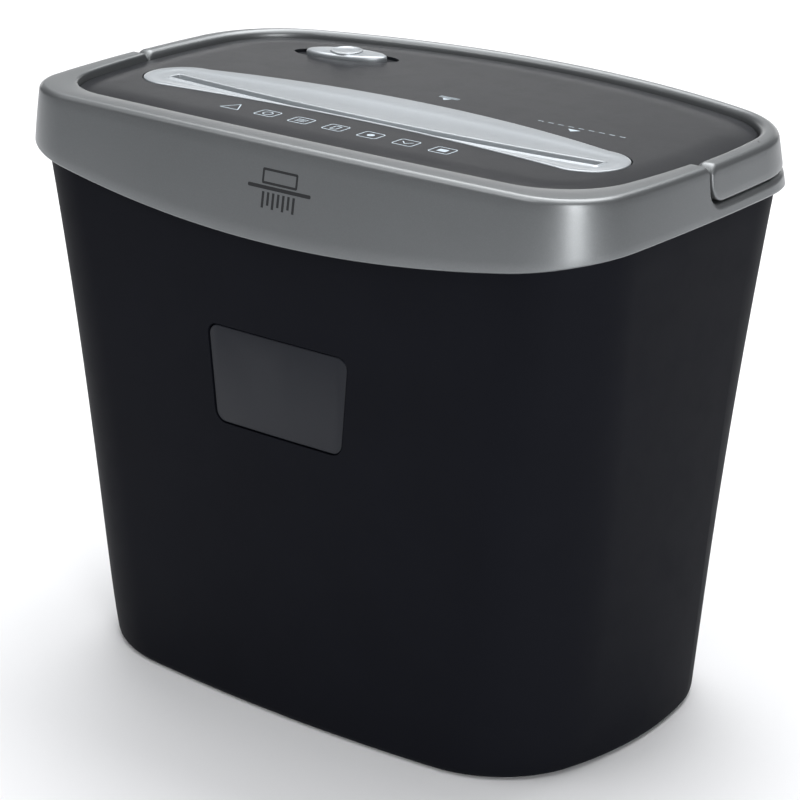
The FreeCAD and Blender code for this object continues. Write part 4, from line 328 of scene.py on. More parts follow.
def as_object(bm, name):
    mesh = bpy.data.meshes.new(name)
    bm.to_mesh(mesh)
    bm.free()
    thing = bpy.data.objects.new(name, mesh)
    bpy.context.scene.collection.objects.link(thing)
    return thing


def apply_modifiers(thing):
    """Turns the piece's live modifiers into its own mesh."""
    graph = bpy.context.evaluated_depsgraph_get()
    thing.data = bpy.data.meshes.new_from_object(thing.evaluated_get(graph))
    thing.modifiers.clear()
    return thing


def cut_away(thing, *cutters):
    """Takes solids away from a piece and removes them."""
    made = [as_object(cutter, f"{thing.name}_cutter_{i}") for i, cutter in enumerate(cutters)]
    for tool in made:
        cut = thing.modifiers.new("cut", "BOOLEAN")
        cut.operation = "DIFFERENCE"
        cut.solver = "EXACT"
        cut.object = tool
    apply_modifiers(thing)
    for tool in made:
        bpy.data.objects.remove(tool)
    return thing


def soften(thing, width):
    """Rounds a piece's sharp edges."""
    rounding = thing.modifiers.new("soften", "BEVEL")
    rounding.width = width
    rounding.segments = 3
    rounding.limit_method = "ANGLE"
    rounding.angle_limit = math.radians(32)
    return apply_modifiers(thing)


def shade(thing, angle=38.0):
    thing.data.shade_smooth()
    thing.data.set_sharp_from_angle(angle=math.radians(angle))
    return thing


def settle(thing, body, slot, finish, *replaced):
    """Gives a piece its finish and its body, and hides the nodes it stands for."""
    thing.data.materials.clear()
    thing.data.materials.append(finish)
    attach(thing, body)
    if replaced:
        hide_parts(*replaced)
    return thing


# -------------------- shader expressions


class Value:
    """A number that varies over a surface. Sums with it add their Math nodes."""

    def __init__(self, finish, socket):
        self.finish = finish
        self.socket = socket

    def math(self, operation, *values):
        return self.finish.node("ShaderNodeMath", {"operation": operation}, dict(enumerate(values)))

    def __add__(self, other):
        return self.math("ADD", self, other)

    def __radd__(self, other):
        return self.math("ADD", other, self)

    def __mul__(self, other):
        return self.math("MULTIPLY", self, other)

    def __rmul__(self, other):
        return self.math("MULTIPLY", other, self)

    def __gt__(self, other):
        return self.math("GREATER_THAN", self, other)


class Finish:
    """A material made of nodes on the piece's own Object coordinates."""

    def __init__(self, name):
        self.material = bpy.data.materials.new(name)
        self.material.use_nodes = True
        self.tree = self.material.node_tree
        self.tree.nodes.clear()
        self.shader = self.tree.nodes.new("ShaderNodeBsdfPrincipled")
        output = self.tree.nodes.new("ShaderNodeOutputMaterial")
        self.tree.links.new(self.shader.outputs[0], output.inputs["Surface"])
        self.place = self.node("ShaderNodeTexCoord", output="Object")

    def node(self, kind, settings=None, inputs=None, output=0):
        made = self.tree.nodes.new(kind)
        for setting, value in (settings or {}).items():
            if setting == "stops":
                self.set_stops(made.color_ramp, value)
            else:
                setattr(made, setting, value)
        for key, value in (inputs or {}).items():
            self.feed(made.inputs[key], value)
        return Value(self, made.outputs[output])

    @staticmethod
    def set_stops(ramp, stops):
        while len(ramp.elements) < len(stops):
            ramp.elements.new(1.0)
        for element, (position, level) in zip(ramp.elements, stops):
            element.position = position
            element.color = (level, level, level, 1)

    def feed(self, socket, value):
        if isinstance(value, Value):
            self.tree.links.new(value.socket, socket)
        elif socket.type == "RGBA" and len(value) == 3:
            socket.default_value = (*value, 1)
        else:
            socket.default_value = value

    def set(self, **values):
        for key, value in values.items():
            self.feed(self.shader.inputs[key.replace("_", " ")], value)
        return self

    def noise(self, grain, detail=3.0, stretch=(1, 1, 1), rough=0.5):
        """Noise whose grain is a length in metres, stretched along the axes."""
        where = self.node("ShaderNodeMapping", inputs={"Vector": self.place, "Scale": stretch})
        return self.node("ShaderNodeTexNoise", {"noise_dimensions": "3D"},
                         {"Vector": where, "Scale": 1 / grain, "Detail": detail, "Roughness": rough})

    def cells(self, grain, stretch=(1, 1, 1)):
        where = self.node("ShaderNodeMapping", inputs={"Vector": self.place, "Scale": stretch})
        return self.node("ShaderNodeTexVoronoi", {"feature": "F1"}, {"Vector": where, "Scale": 1 / grain})

    def bands(self, pitch, axis):
        return self.node("ShaderNodeTexWave", {"wave_type": "BANDS", "bands_direction": axis},
                         {"Vector": self.place, "Scale": math.pi / 10 / pitch})

    def ramp(self, value, *stops):
        return self.node("ShaderNodeValToRGB", {"stops": stops}, {"Fac": value})

    def mix(self, share, first, last):
        kind = {"data_type": "RGBA", "blend_type": "MIX"}
        return self.node("ShaderNodeMix", kind, {0: share, 6: first, 7: last}, output=2)

    def bump(self, height, depth, strength=1.0):
        made = self.node("ShaderNodeBump", inputs={"Height": height, "Distance": depth, "Strength": strength})
        return self.set(Normal=made)


def tinted(shade_of, factor):
    return tuple(min(1.0, channel * factor) for channel in shade_of)


def moulded(name, base, rough=0.5, grain=0.5 * MM, depth=0.02 * MM, mottle=0.12, shine=0.5):
    """Moulded plastic: fine spark grain, slow shade drift and uneven gloss."""
    made = Finish(name)
    drift = made.noise(45 * MM, 2.0)
    fine = made.noise(grain, 2.0)
    scuff = made.ramp(made.noise(14 * MM, 6.0, rough=0.65), (0.45, 0.0), (0.72, 1.0))
    made.set(Base_Color=made.mix(drift, tinted(base, 1 - mottle), tinted(base, 1 + mottle)))
    made.set(Roughness=rough - 0.05 + 0.06 * drift + 0.05 * fine + 0.04 * scuff, Specular_IOR_Level=shine)
    return made.bump(fine, depth).material


def silver_paint(name, base, rough=0.36, metallic=0.72):
    """Satin metallic paint: flakes of two sizes under a soft clear coat."""
    made = Finish(name)
    flake = made.cells(0.22 * MM)
    coarse = made.noise(0.9 * MM, 3.0)
    drift = made.noise(70 * MM, 2.0)
    glint = 0.55 * flake + 0.25 * coarse + 0.2 * drift
    made.set(Base_Color=made.mix(glint, tinted(base, 0.82), tinted(base, 1.16)))
    made.set(Metallic=metallic, Roughness=rough + 0.05 * coarse + 0.04 * drift)
    made.set(Coat_Weight=0.22, Coat_Roughness=0.22)
    return made.bump(coarse, 0.012 * MM).material


def machined(name, base):
    """Worked metal: fine lines across the cut and faint oily patches."""
    made = Finish(name)
    lines = made.noise(2.4 * MM, 4.0, (1, 14, 14))
    patches = made.noise(16 * MM, 3.0)
    made.set(Base_Color=made.mix(0.6 * lines + 0.4 * patches, tinted(base, 0.72), tinted(base, 1.12)))
    made.set(Metallic=1.0, Roughness=0.26 + 0.14 * lines + 0.08 * patches)
    return made.bump(lines, 0.02 * MM).material


def layered(name, base, pitch, axis="X", metallic=0.6, rough=0.5):
    """A stack of thin sheets or turns of wire."""
    made = Finish(name)
    stripes = made.bands(pitch, axis)
    drift = made.noise(9 * MM, 3.0)
    made.set(Base_Color=made.mix(0.7 * stripes + 0.3 * drift, tinted(base, 0.45), tinted(base, 1.1)))
    made.set(Metallic=metallic, Roughness=rough + 0.1 * drift)
    return made.bump(stripes, 0.12 * MM).material


def board_laminate(name, base):
    """Solder mask over copper tracks."""
    made = Finish(name)
    tracks = made.cells(7 * MM, (1, 1, 0)) > 0.42
    weave = made.bands(0.6 * MM, "X") * made.bands(0.6 * MM, "Y")
    made.set(Base_Color=made.mix(0.75 * tracks + 0.1 * weave, tinted(base, 0.7), tinted(base, 1.7)))
    made.set(Roughness=0.34 + 0.1 * weave)
    return made.bump(tracks, 0.04 * MM).material


def clear_glass(name, base):
    made = Finish(name)
    made.set(Base_Color=base[:3], Roughness=0.04 + 0.05 * made.noise(4 * MM), Transmission_Weight=0.85)
    return made.bump(made.noise(3 * MM), 0.01 * MM).material


def printed(name, base):
    """Pad-printed ink with slightly uneven cover."""
    made = Finish(name)
    cover = made.noise(0.8 * MM, 4.0)
    made.set(Base_Color=made.mix(cover, tinted(base, 0.86), tinted(base, 1.1)), Roughness=0.42 + 0.12 * cover)
    return made.bump(cover, 0.01 * MM).material


FINISHES = {}


class SHREDDER_OT_finishes(bpy.types.Operator):
    """Make one finish for each material slot, and two inks"""

    bl_idname = "shredder.finishes"
    bl_label = "Finishes"

    def execute(self, context):
        paint = colours()
        base = {slot["slot"]: tuple(slot["base_color"]) for slot in frame["record"]["materials"]}
        FINISHES["bin_plastic"] = moulded(
            "bin_plastic", paint.bin, 0.58, 0.55 * MM, 0.035 * MM, 0.16, shine=0.05)
        FINISHES["window_plastic"] = moulded(
            "window_plastic", paint.window, 0.38, 1.2 * MM, 0.006 * MM, 0.08, shine=0.25)
        FINISHES["band_paint"] = silver_paint("band_paint", paint.band)
        FINISHES["panel_plastic"] = moulded("panel_plastic", paint.panel, 0.3, 0.4 * MM, 0.012 * MM, 0.1)
        FINISHES["bezel_silver"] = silver_paint("bezel_silver", paint.bezel, 0.34, 0.55)
        FINISHES["ink"] = printed("ink", paint.ink)
        FINISHES["dark_ink"] = printed("dark_ink", paint.dark_ink)
        for slot in ("housing_plastic", "comb_plastic", "gear_nylon", "case_plastic", "terminal_plastic",
                     "plunger_plastic", "capacitor_box", "gland_rubber", "carbon"):
            rough = 0.72 if slot in ("gland_rubber", "carbon") else 0.45
            FINISHES[slot] = moulded(slot, base[slot][:3], rough)
        for slot in ("plate_steel", "hard_steel", "gear_metal", "bronze", "brass_parts", "screw_zinc"):
            FINISHES[slot] = machined(slot, base[slot][:3])
        FINISHES["laminations"] = layered("laminations", base["laminations"][:3], 0.9 * MM)
        FINISHES["copper"] = layered("copper", base["copper"][:3], 0.8 * MM, "Y", 0.85, 0.35)
        FINISHES["board_laminate"] = board_laminate("board_laminate", base["board_laminate"][:3])
        FINISHES["fuse_glass"] = clear_glass("fuse_glass", base["fuse_glass"])
        return {"FINISHED"}


# -------------------- bin and window


def bin_profile(column):
    """Cross-section of the bin, from under its foot, up, over the lip and back down."""
    size = sizes()
    points = []

    def add(z, inset):
        points.append(Vector((*point_on(bin_shape(z, inset), column), z)))

    for angle in quarter(5):
        add(size.foot_round * (1 - math.cos(angle)), size.foot_round * (1 - math.sin(angle)))
    for k in range(1, 30):
        add(size.foot_round + (size.bin_height - 2 * size.foot_round) * k / 30, 0)
    lip = size.bin_wall / 2
    for angle in quarter(8, 0, math.pi):
        add(size.bin_height - lip + lip * math.sin(angle), lip - lip * math.cos(angle))
    for k in range(1, 12):
        add(size.bin_height + (size.bin_floor + size.foot_round - size.bin_height) * k / 11, size.bin_wall)
    for angle in quarter(4)[1:]:
        fall = size.foot_round * (1 - math.sin(angle))
        add(size.bin_floor + fall, size.bin_wall + size.foot_round * (1 - math.cos(angle)))
    return points


def window_cutter():
    """The window's rounded outline, carried through the front wall."""
    size = sizes()
    gap = size.window_gap
    top = size.window_middle + size.window_tall / 2 + gap
    foot = size.window_middle - size.window_tall / 2 - gap
    corners = [(-1, foot, size.window_foot), (1, foot, size.window_foot),
               (1, top, size.window_top), (-1, top, size.window_top)]
    bm = bmesh.new()
    face_y = -115 * MM
    face = bm.faces.new([bm.verts.new((hand * (reach + gap), face_y, z)) for hand, z, reach in corners])
    bmesh.ops.bevel(bm, geom=list(face.verts), offset=5.5 * MM, offset_type="OFFSET", affect="VERTICES",
                    segments=8, profile=0.5, material=-1)
    bm.faces.ensure_lookup_table()
    return extrude_up(bm, bm.faces[0], Vector((0, 45 * MM, 0)))


class SHREDDER_OT_bin(bpy.types.Operator):
    """Build the flared waste bin and its view window"""

    bl_idname = "shredder.bin"
    bl_label = "Bin"

    def execute(self, context):
        size = sizes()
        shell = as_object(sweep(ring_columns(), bin_profile, closed_profile=False), "bin_shell")
        notch = cuboid((-9 * MM, 60 * MM, size.bin_height - 16 * MM),
                       (9 * MM, 120 * MM, size.bin_height + 3 * MM))
        cut_away(shell, window_cutter(), notch)
        shade(shell)
        settle(shell, "bin_body", "bin_plastic", FINISHES["bin_plastic"], "bin")
        pane = softened_copy("bin_window", "view_window", 0.5 * MM)
        settle(pane, "bin_body", "window_plastic", FINISHES["window_plastic"], "bin_window")
        return {"FINISHED"}


def softened_copy(node, name, width):
    """A CAD node's shape with merged faces and rounded edges."""
    bm = bmesh.new()
    bm.from_mesh(frame["nodes"][node].data)
    bmesh.ops.remove_doubles(bm, verts=bm.verts, dist=MERGE)
    bmesh.ops.dissolve_limit(bm, angle_limit=math.radians(0.5), verts=bm.verts, edges=bm.edges)
    return shade(soften(as_object(bm, name), width))


# -------------------- band and handle


def skirt_z(x):
    """The skirt's lower edge is an arc, lowest in the middle."""
    size = sizes()
    reach = OUTLINES["mouth"][0] * MM
    radius = (reach ** 2 + size.skirt_rise ** 2) / (2 * size.skirt_rise)
    return size.skirt_low + radius - math.sqrt(radius ** 2 - x ** 2)


def band_top(column):
    """Height of the rim, which steps down behind the handle's front end."""
    size = sizes()
    y = point_on(shape_of("rim"), column).y
    foot = size.step_front + size.step_round
    if y >= foot:
        return size.ledge_top
    if y >= size.step_front:
        return size.ledge_top + size.step_round - math.sqrt(size.step_round ** 2 - (y - foot) ** 2)
    edge = 1.2 * MM
    into = max(0.0, y - size.step_front + edge)
    return size.rim_top - edge + math.sqrt(max(0.0, edge ** 2 - into ** 2))


PANEL_GAP = 0.15 * MM


def band_profile(column):
    """Cross-section of the band: outside, rim, inner wall and back down the inside."""
    size = sizes()
    top = band_top(column)
    low = skirt_z(point_on(band_shape(226 * MM), column).x)
    low = skirt_z(point_on(band_shape(low), column).x)
    edge = size.rim_round
    inner = 1.3 * MM
    points = []

    def add(z, shape):
        points.append(Vector((*point_on(shape, column), z)))

    for k in range(8):
        z = low + 0.9 * MM + (top - edge - low - 0.9 * MM) * k / 7
        add(z, band_shape(z))
    for angle in quarter(6)[1:]:
        z = top - edge + edge * math.sin(angle)
        add(z, band_shape(z, edge - edge * math.cos(angle)))
    for angle in quarter(4, math.pi / 2, 0):
        outset = PANEL_GAP + inner - inner * math.cos(angle)
        add(top - inner + inner * math.sin(angle), shape_of("panel", -outset))
    underside = min(246 * MM, top - 3 * MM)
    add(underside, shape_of("panel", -PANEL_GAP))
    for k in range(5):
        z = underside + (low + 1.1 * MM - underside) * k / 4
        add(z, band_shape(z, size.band_wall))
    for angle in quarter(4, math.pi / 10, math.pi - math.pi / 10):
        z = low + 0.9 * MM - 0.9 * MM * math.sin(angle)
        add(z, band_shape(max(z, size.skirt_low), size.band_wall / 2 + size.band_wall / 2 * math.cos(angle)))
    return points


def handle_profile(column):
    """Cross-section of the carry handle: rounded on top, blunt at its two ends."""
    size = sizes()
    y = point_on(shape_of("rim"), column).y
    into = y - size.handle_front
    pivot_z = size.rim_top - size.handle_half
    low = pivot_z - size.handle_half
    high = size.rim_top
    if into < size.handle_half:
        low = pivot_z - math.sqrt(max(0.0, size.handle_half ** 2 - (size.handle_half - into) ** 2))
    turn = 4.0 * MM
    if into < turn:
        high = size.rim_top - turn + math.sqrt(turn ** 2 - (turn - into) ** 2)
    blunt = 1.1 * MM
    pull = 0.0
    if into < blunt:
        pull = 0.9 * (blunt - math.sqrt(blunt ** 2 - (blunt - into) ** 2))
    low += pull * 0.5
    high -= pull * 0.5
    share = min(1.0, (high - low) / (10 * MM))
    outer = size.handle_round * share
    inner = size.handle_inner * share
    small = 1.4 * MM * share
    gap = 0.5 * MM + pull
    points = []

    def add(z, shape):
        points.append(Vector((*point_on(shape, column), z)))

    for k in range(5):
        z = low + small + (high - outer - low - small) * k / 4
        add(z, band_shape(z, pull))
    for angle in quarter(7)[1:]:
        z = high - outer + outer * math.sin(angle)
        add(z, band_shape(z, pull + outer - outer * math.cos(angle)))
    for angle in quarter(7, math.pi / 2, 0):
        outset = gap + inner - inner * math.cos(angle)
        add(high - inner + inner * math.sin(angle), shape_of("panel", -outset))
    add((high + low - inner) / 2, shape_of("panel", -gap))
    for angle in quarter(4):
        outset = gap + small - small * math.cos(angle)
        add(low + small - small * math.sin(angle), shape_of("panel", -outset))
    for angle in quarter(4, math.pi / 2, 0)[:-1]:
        z = low + small - small * math.sin(angle)
        add(z, band_shape(z, pull + small - small * math.cos(angle)))
    return points


class SHREDDER_OT_band(bpy.types.Operator):
    """Build the silver band with its rim and stepped ledge"""

    bl_idname = "shredder.band"
    bl_label = "Band"

    def execute(self, context):
        band = as_object(sweep(ring_columns(), band_profile), "silver_band")
        low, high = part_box("cord_gland")
        hole = bmesh.new()
        radius = (high.z - low.z) / 2 + 0.15 * MM
        middle = Vector(((low.x + high.x) / 2, 100 * MM, (low.z + high.z) / 2))
        place = Matrix.Translation(middle) @ Matrix.Rotation(math.pi / 2, 4, "X")
        bmesh.ops.create_cone(hole, cap_ends=True, segments=48, radius1=radius, radius2=radius,
                              depth=40 * MM, matrix=place)
        cut_away(band, hole)
        shade(band, 42)
        settle(band, "head", "band_paint", FINISHES["band_paint"], "trim_band")
        return {"FINISHED"}


class SHREDDER_OT_handle(bpy.types.Operator):
    """Build the carry handle that lies in the rim"""

    bl_idname = "shredder.handle"
    bl_label = "Carry handle"

    def execute(self, context):
        bar = as_object(sweep(handle_columns(), handle_profile, closed_ring=False), "carry_bar")
        shade(bar, 50)
        settle(bar, "handle", "band_paint", FINISHES["band_paint"], "carry_handle")
        return {"FINISHED"}


# -------------------- panel, bezel, knob


def panel_profile(column):
    """From the panel's lower edge up its side, over the edge and in to the flat."""
    size = sizes()
    edge = 1.8 * MM
    rim = size.panel_top - size.panel_crown
    points = []

    def add(z, inset):
        points.append(Vector((*point_on(shape_of("panel", inset), column), z)))

    for k in range(4):
        add(size.panel_low + (rim - edge - size.panel_low) * k / 3, 0)
    for angle in quarter(5)[1:]:
        add(rim - edge + edge * math.sin(angle), edge - edge * math.cos(angle))
    for k in range(1, 13):
        share = k / 12
        add(size.panel_top - size.panel_crown * (1 - share) ** 2, edge + size.panel_slope * share)
    add(size.panel_top, edge + size.panel_slope + 6 * MM)
    return points


def three_point_arc(first, through, last, steps):
    """Points on the arc through three points, without its last point."""
    a, b, c = (Vector(point) for point in (first, through, last))
    corners = ((a, b, c), (b, c, a), (c, a, b))
    doubled = 2 * sum(p.x * (q.y - r.y) for p, q, r in corners)
    centre = Vector((sum(p.length_squared * (q.y - r.y) for p, q, r in corners) / doubled,
                     sum(p.length_squared * (r.x - q.x) for p, q, r in corners) / doubled))
    start = math.atan2(a.y - centre.y, a.x - centre.x)
    turn = (math.atan2(c.y - centre.y, c.x - centre.x) - start) % (2 * math.pi)
    middle = (math.atan2(b.y - centre.y, b.x - centre.x) - start) % (2 * math.pi)
    if middle > turn:
        turn -= 2 * math.pi
    return [turn_point(centre, (a - centre).length, start + turn * k / steps) for k in range(steps)]


BEZEL_REACH = 123 * MM
BEZEL_SHOULDER = 105 * MM
BEZEL_BACK = 30.9 * MM
BEZEL_BACK_BOW = 14.5 * MM
BEZEL_FRONT = 10.4 * MM
BEZEL_FRONT_BOW = 7.7 * MM
BEZEL_DIP = 3.1 * MM
BEZEL_TALL = 6.2 * MM
LIP_ROOM = 4.0 * MM

# The slot's rounded lip, as millimetres out from the slot and above the bezel's low line.
SLOT_LIP = ((1.25, 0.1), (0.95, 0.42), (0.6, 0.58), (0.25, 0.45), (0.0, 0.1))


def crescent(grow):
    """The bezel's outline: a shallow crescent with blunt rounded ends."""
    throat = sizes().throat_y
    reach = BEZEL_REACH + grow
    shoulder = BEZEL_SHOULDER + grow / 2
    back = throat + BEZEL_BACK + grow
    back_end = back - BEZEL_BACK_BOW
    front = throat - BEZEL_FRONT - grow
    front_end = front - BEZEL_FRONT_BOW
    middle = (back_end + front_end) / 2
    return [
        *three_point_arc((shoulder, back_end), (0, back), (-shoulder, back_end), 48),
        *three_point_arc((-shoulder, back_end), (-reach, middle), (-shoulder, front_end), 24),
        *three_point_arc((-shoulder, front_end), (0, front), (shoulder, front_end), 48),
        *three_point_arc((shoulder, front_end), (reach, middle), (shoulder, back_end), 24),
    ]


def bezel_profile(place):
    """From the bezel's foot up its edge, down the slope to the slot's lip and into the slot."""
    size = sizes()
    top = size.panel_top + size.bezel_above
    half, wide = size.throat_half, size.throat_half_wide
    across = min(max(place.x, -half), half)
    along = size.throat_y + min(max(place.y - size.throat_y, -wide), wide)
    slot = Vector((across, along))
    outward = (place - slot).normalized()
    reach = (place - slot).length
    bow = (BEZEL_SHOULDER ** 2 + BEZEL_BACK_BOW ** 2) / (2 * BEZEL_BACK_BOW)
    slope = BEZEL_BACK - LIP_ROOM
    dip = BEZEL_DIP * (slope - bow + math.sqrt(bow ** 2 - slot.x ** 2)) / slope
    edge = [(reach, -BEZEL_TALL), (reach, -0.5 * MM),
            (reach - 0.15 * MM, -0.15 * MM), (reach - 0.5 * MM, 0.0)]
    fall = [(reach * 0.6 + 0.6 * MM, -dip * 0.38), (1.5 * MM, -dip)]
    lip = [(step * MM, rise * MM - dip) for step, rise in SLOT_LIP]
    steps = [*edge, *fall, *lip, (0.0, -BEZEL_TALL)]
    return [Vector((*(slot + outward * step), top + rise)) for step, rise in steps]


def ellipse_points(half, wide, z, steps=72):
    """An ellipse on the switch's track."""
    turn = Matrix.Rotation(SWITCH_TURN, 3, "Z")
    centre = Vector((sizes().switch_x, sizes().switch_y, z))
    return [centre + turn @ Vector((half * math.cos(angle), wide * math.sin(angle), 0))
            for angle in (2 * math.pi * k / steps for k in range(steps))]


SWITCH_TURN = math.radians(16)


class SHREDDER_OT_panel(bpy.types.Operator):
    """Build the crowned top panel with its switch recess"""

    bl_idname = "shredder.panel"
    bl_label = "Top panel"

    def execute(self, context):
        size = sizes()
        panel = as_object(sweep(ring_columns(), panel_profile, closed_profile=False), "panel_cover")
        upward = Vector((0, 0, 20 * MM))
        low = size.panel_top - 9 * MM
        seat = prism([(p.x, p.y, low) for p in crescent(size.bezel_gap)], upward)
        floor = size.panel_top - size.recess_deep
        dish = prism(ellipse_points(size.recess_half, size.recess_wide, floor), upward)
        slot = prism(ellipse_points(10 * MM, 3.2 * MM, size.panel_top - 8 * MM, 40), upward)
        cut_away(panel, seat, dish, slot)
        shade(panel, 34)
        settle(panel, "head", "panel_plastic", FINISHES["panel_plastic"], "top_panel")
        return {"FINISHED"}


class SHREDDER_OT_bezel(bpy.types.Operator):
    """Build the silver bezel with the paper slot"""

    bl_idname = "shredder.bezel"
    bl_label = "Throat bezel"

    def execute(self, context):
        bm = sweep(crescent(0), bezel_profile)
        bmesh.ops.remove_doubles(bm, verts=bm.verts, dist=MERGE)
        bezel = as_object(bm, "slot_bezel")
        shade(bezel, 50)
        settle(bezel, "head", "bezel_silver", FINISHES["bezel_silver"], "throat_bezel")
        return {"FINISHED"}


class SHREDDER_OT_knob(bpy.types.Operator):
    """Build the slide knob with its dished thumb pad"""

    bl_idname = "shredder.knob"
    bl_label = "Slide knob"

    def execute(self, context):
        size = sizes()
        floor = size.panel_top - size.recess_deep + 0.3 * MM
        rings = [(1.0, 0.0), (1.0, 1.7), (0.985, 2.3), (0.95, 2.7), (0.88, 2.95), (0.74, 3.1), (0.5, 3.2)]
        bm = bmesh.new()
        foot = ellipse_points(size.knob_half, size.knob_wide, floor)
        face = bm.faces.new([bm.verts.new(point) for point in foot])
        centre = Vector((size.switch_x, size.switch_y, floor))
        for (share, height), (before, _) in zip(rings[1:], rings):
            made = bmesh.ops.extrude_face_region(bm, geom=[face])["geom"]
            face = next(item for item in made if isinstance(item, bmesh.types.BMFace))
            for vert in face.verts:
                flat = (vert.co - centre) * share / before
                vert.co = Vector((centre.x + flat.x, centre.y + flat.y, floor + height * MM))
        bmesh.ops.recalc_face_normals(bm, faces=bm.faces)
        knob = as_object(bm, "switch_knob_cap")
        shade(knob, 40)
        settle(knob, "switch_knob", "bezel_silver", FINISHES["bezel_silver"], "slide_knob")
        pad = as_object(thumb_pad(centre + Vector((0, 0, 2.9 * MM))), "thumb_pad")
        shade(pad, 60)
        settle(pad, "switch_knob", "bezel_silver", FINISHES["bezel_silver"])
        return {"FINISHED"}


# The thumb pad's outline, as shares of its radius and heights in millimetres.
THUMB_RING = ((1.0, 0.0), (1.0, 0.6), (0.97, 0.9), (0.92, 1.0), (0.87, 0.92),
              (0.8, 0.68), (0.65, 0.48), (0.4, 0.38), (0.0, 0.35))


def thumb_pad(centre):
    """A round raised ring with a shallow dish inside it, turned about its own axis."""
    radius = sizes().thumb_radius
    bm = bmesh.new()
    verts = [bm.verts.new(centre + Vector((radius * share, 0, height * MM))) for share, height in THUMB_RING]
    edges = [bm.edges.new(pair) for pair in zip(verts, verts[1:])]
    bmesh.ops.spin(bm, geom=verts + edges, cent=centre, axis=(0, 0, 1), angle=2 * math.pi,
                   steps=64, use_merge=True)
    bmesh.ops.remove_doubles(bm, verts=bm.verts, dist=MERGE)
    bmesh.ops.holes_fill(bm, edges=bm.edges, sides=0)
    bmesh.ops.recalc_face_normals(bm, faces=bm.faces)
    return bm


# -------------------- printed marks


def rounded_face(bm, points, turn):
    face = bm.faces.new([bm.verts.new(point) for point in points])
    if turn:
        before = set(bm.faces) - {face}
        bmesh.ops.bevel(bm, geom=list(face.verts), offset=turn, offset_type="OFFSET", affect="VERTICES",
                        segments=5, profile=0.5, material=-1)
        face = next(item for item in bm.faces if item not in before)
    bm.normal_update()
    return face


def outline_mark(bm, points, turn, width):
    """The outline of a flat shape, drawn as a thin line."""
    face = rounded_face(bm, points, turn)
    bmesh.ops.inset_region(bm, faces=[face], thickness=width, use_even_offset=True, use_boundary=True)
    bmesh.ops.delete(bm, geom=[face], context="FACES_KEEP_BOUNDARY")


def box_points(centre, half, tall):
    x, y = centre
    return [(x + across * half, y + up * tall, 0) for across, up in ((-1, -1), (1, -1), (1, 1), (-1, 1))]


def bar_points(first, last, width):
    a = Vector((*first, 0))
    b = Vector((*last, 0))
    side = Vector((a.y - b.y, b.x - a.x, 0)).normalized() * width / 2
    return [a - side, b - side, b + side, a + side]


def disc_points(centre, radius, steps=24):
    return [(centre[0] + radius * math.cos(2 * math.pi * k / steps),
             centre[1] + radius * math.sin(2 * math.pi * k / steps), 0) for k in range(steps)]


def pointer_points(tip, half, tall):
    """A triangle that points to the front."""
    x, y = tip
    return [(x - half, y + tall, 0), (x, y, 0), (x + half, y + tall, 0)]


LINE = 0.5 * MM


def glyph_triangle(bm, x, y):
    outline_mark(bm, [(x - 5.2 * MM, y - 4.2 * MM, 0), (x + 5.2 * MM, y - 4.2 * MM, 0), (x, y + 4.6 * MM, 0)],
                 0.8 * MM, LINE)


def glyph_ring(bm, x, y):
    outline_mark(bm, disc_points((x, y), 2.4 * MM), 0, LINE)


def glyph_bars(bm, x, y):
    for step in (-1.5, 0, 1.5):
        rounded_face(bm, bar_points((x - 2.6 * MM, y + step * MM), (x + 2.6 * MM, y + step * MM), LINE), 0)


def glyph_sheet(bm, x, y):
    outline_mark(bm, box_points((x, y), 1.7 * MM, 2.5 * MM), 0.3 * MM, LINE)


def glyph_dot(bm, x, y):
    rounded_face(bm, disc_points((x, y), 1.7 * MM), 0)


def glyph_chevron(bm, x, y):
    for hand in (-1, 1):
        rounded_face(bm, bar_points((x, y - 1.5 * MM), (x + hand * 2.6 * MM, y + 1.3 * MM), LINE), 0)


def glyph_block(bm, x, y):
    rounded_face(bm, box_points((x, y), 2.2 * MM, 1.7 * MM), 0.5 * MM)


GLYPHS = (glyph_triangle, glyph_ring, glyph_bars, glyph_sheet, glyph_dot, glyph_chevron, glyph_block)
GLYPH_PITCH = 18 * MM
GLYPH_Y = -59 * MM
ARROW_X = 5.5 * MM
TICK_X = 76 * MM
TICK_Y = 6.4 * MM


def raise_marks(bm, thick):
    """Gives flat marks a thin body."""
    made = bmesh.ops.extrude_face_region(bm, geom=list(bm.faces))["geom"]
    raised = [item for item in made if isinstance(item, bmesh.types.BMVert)]
    bmesh.ops.translate(bm, verts=raised, vec=(0, 0, thick))
    bmesh.ops.recalc_face_normals(bm, faces=bm.faces)


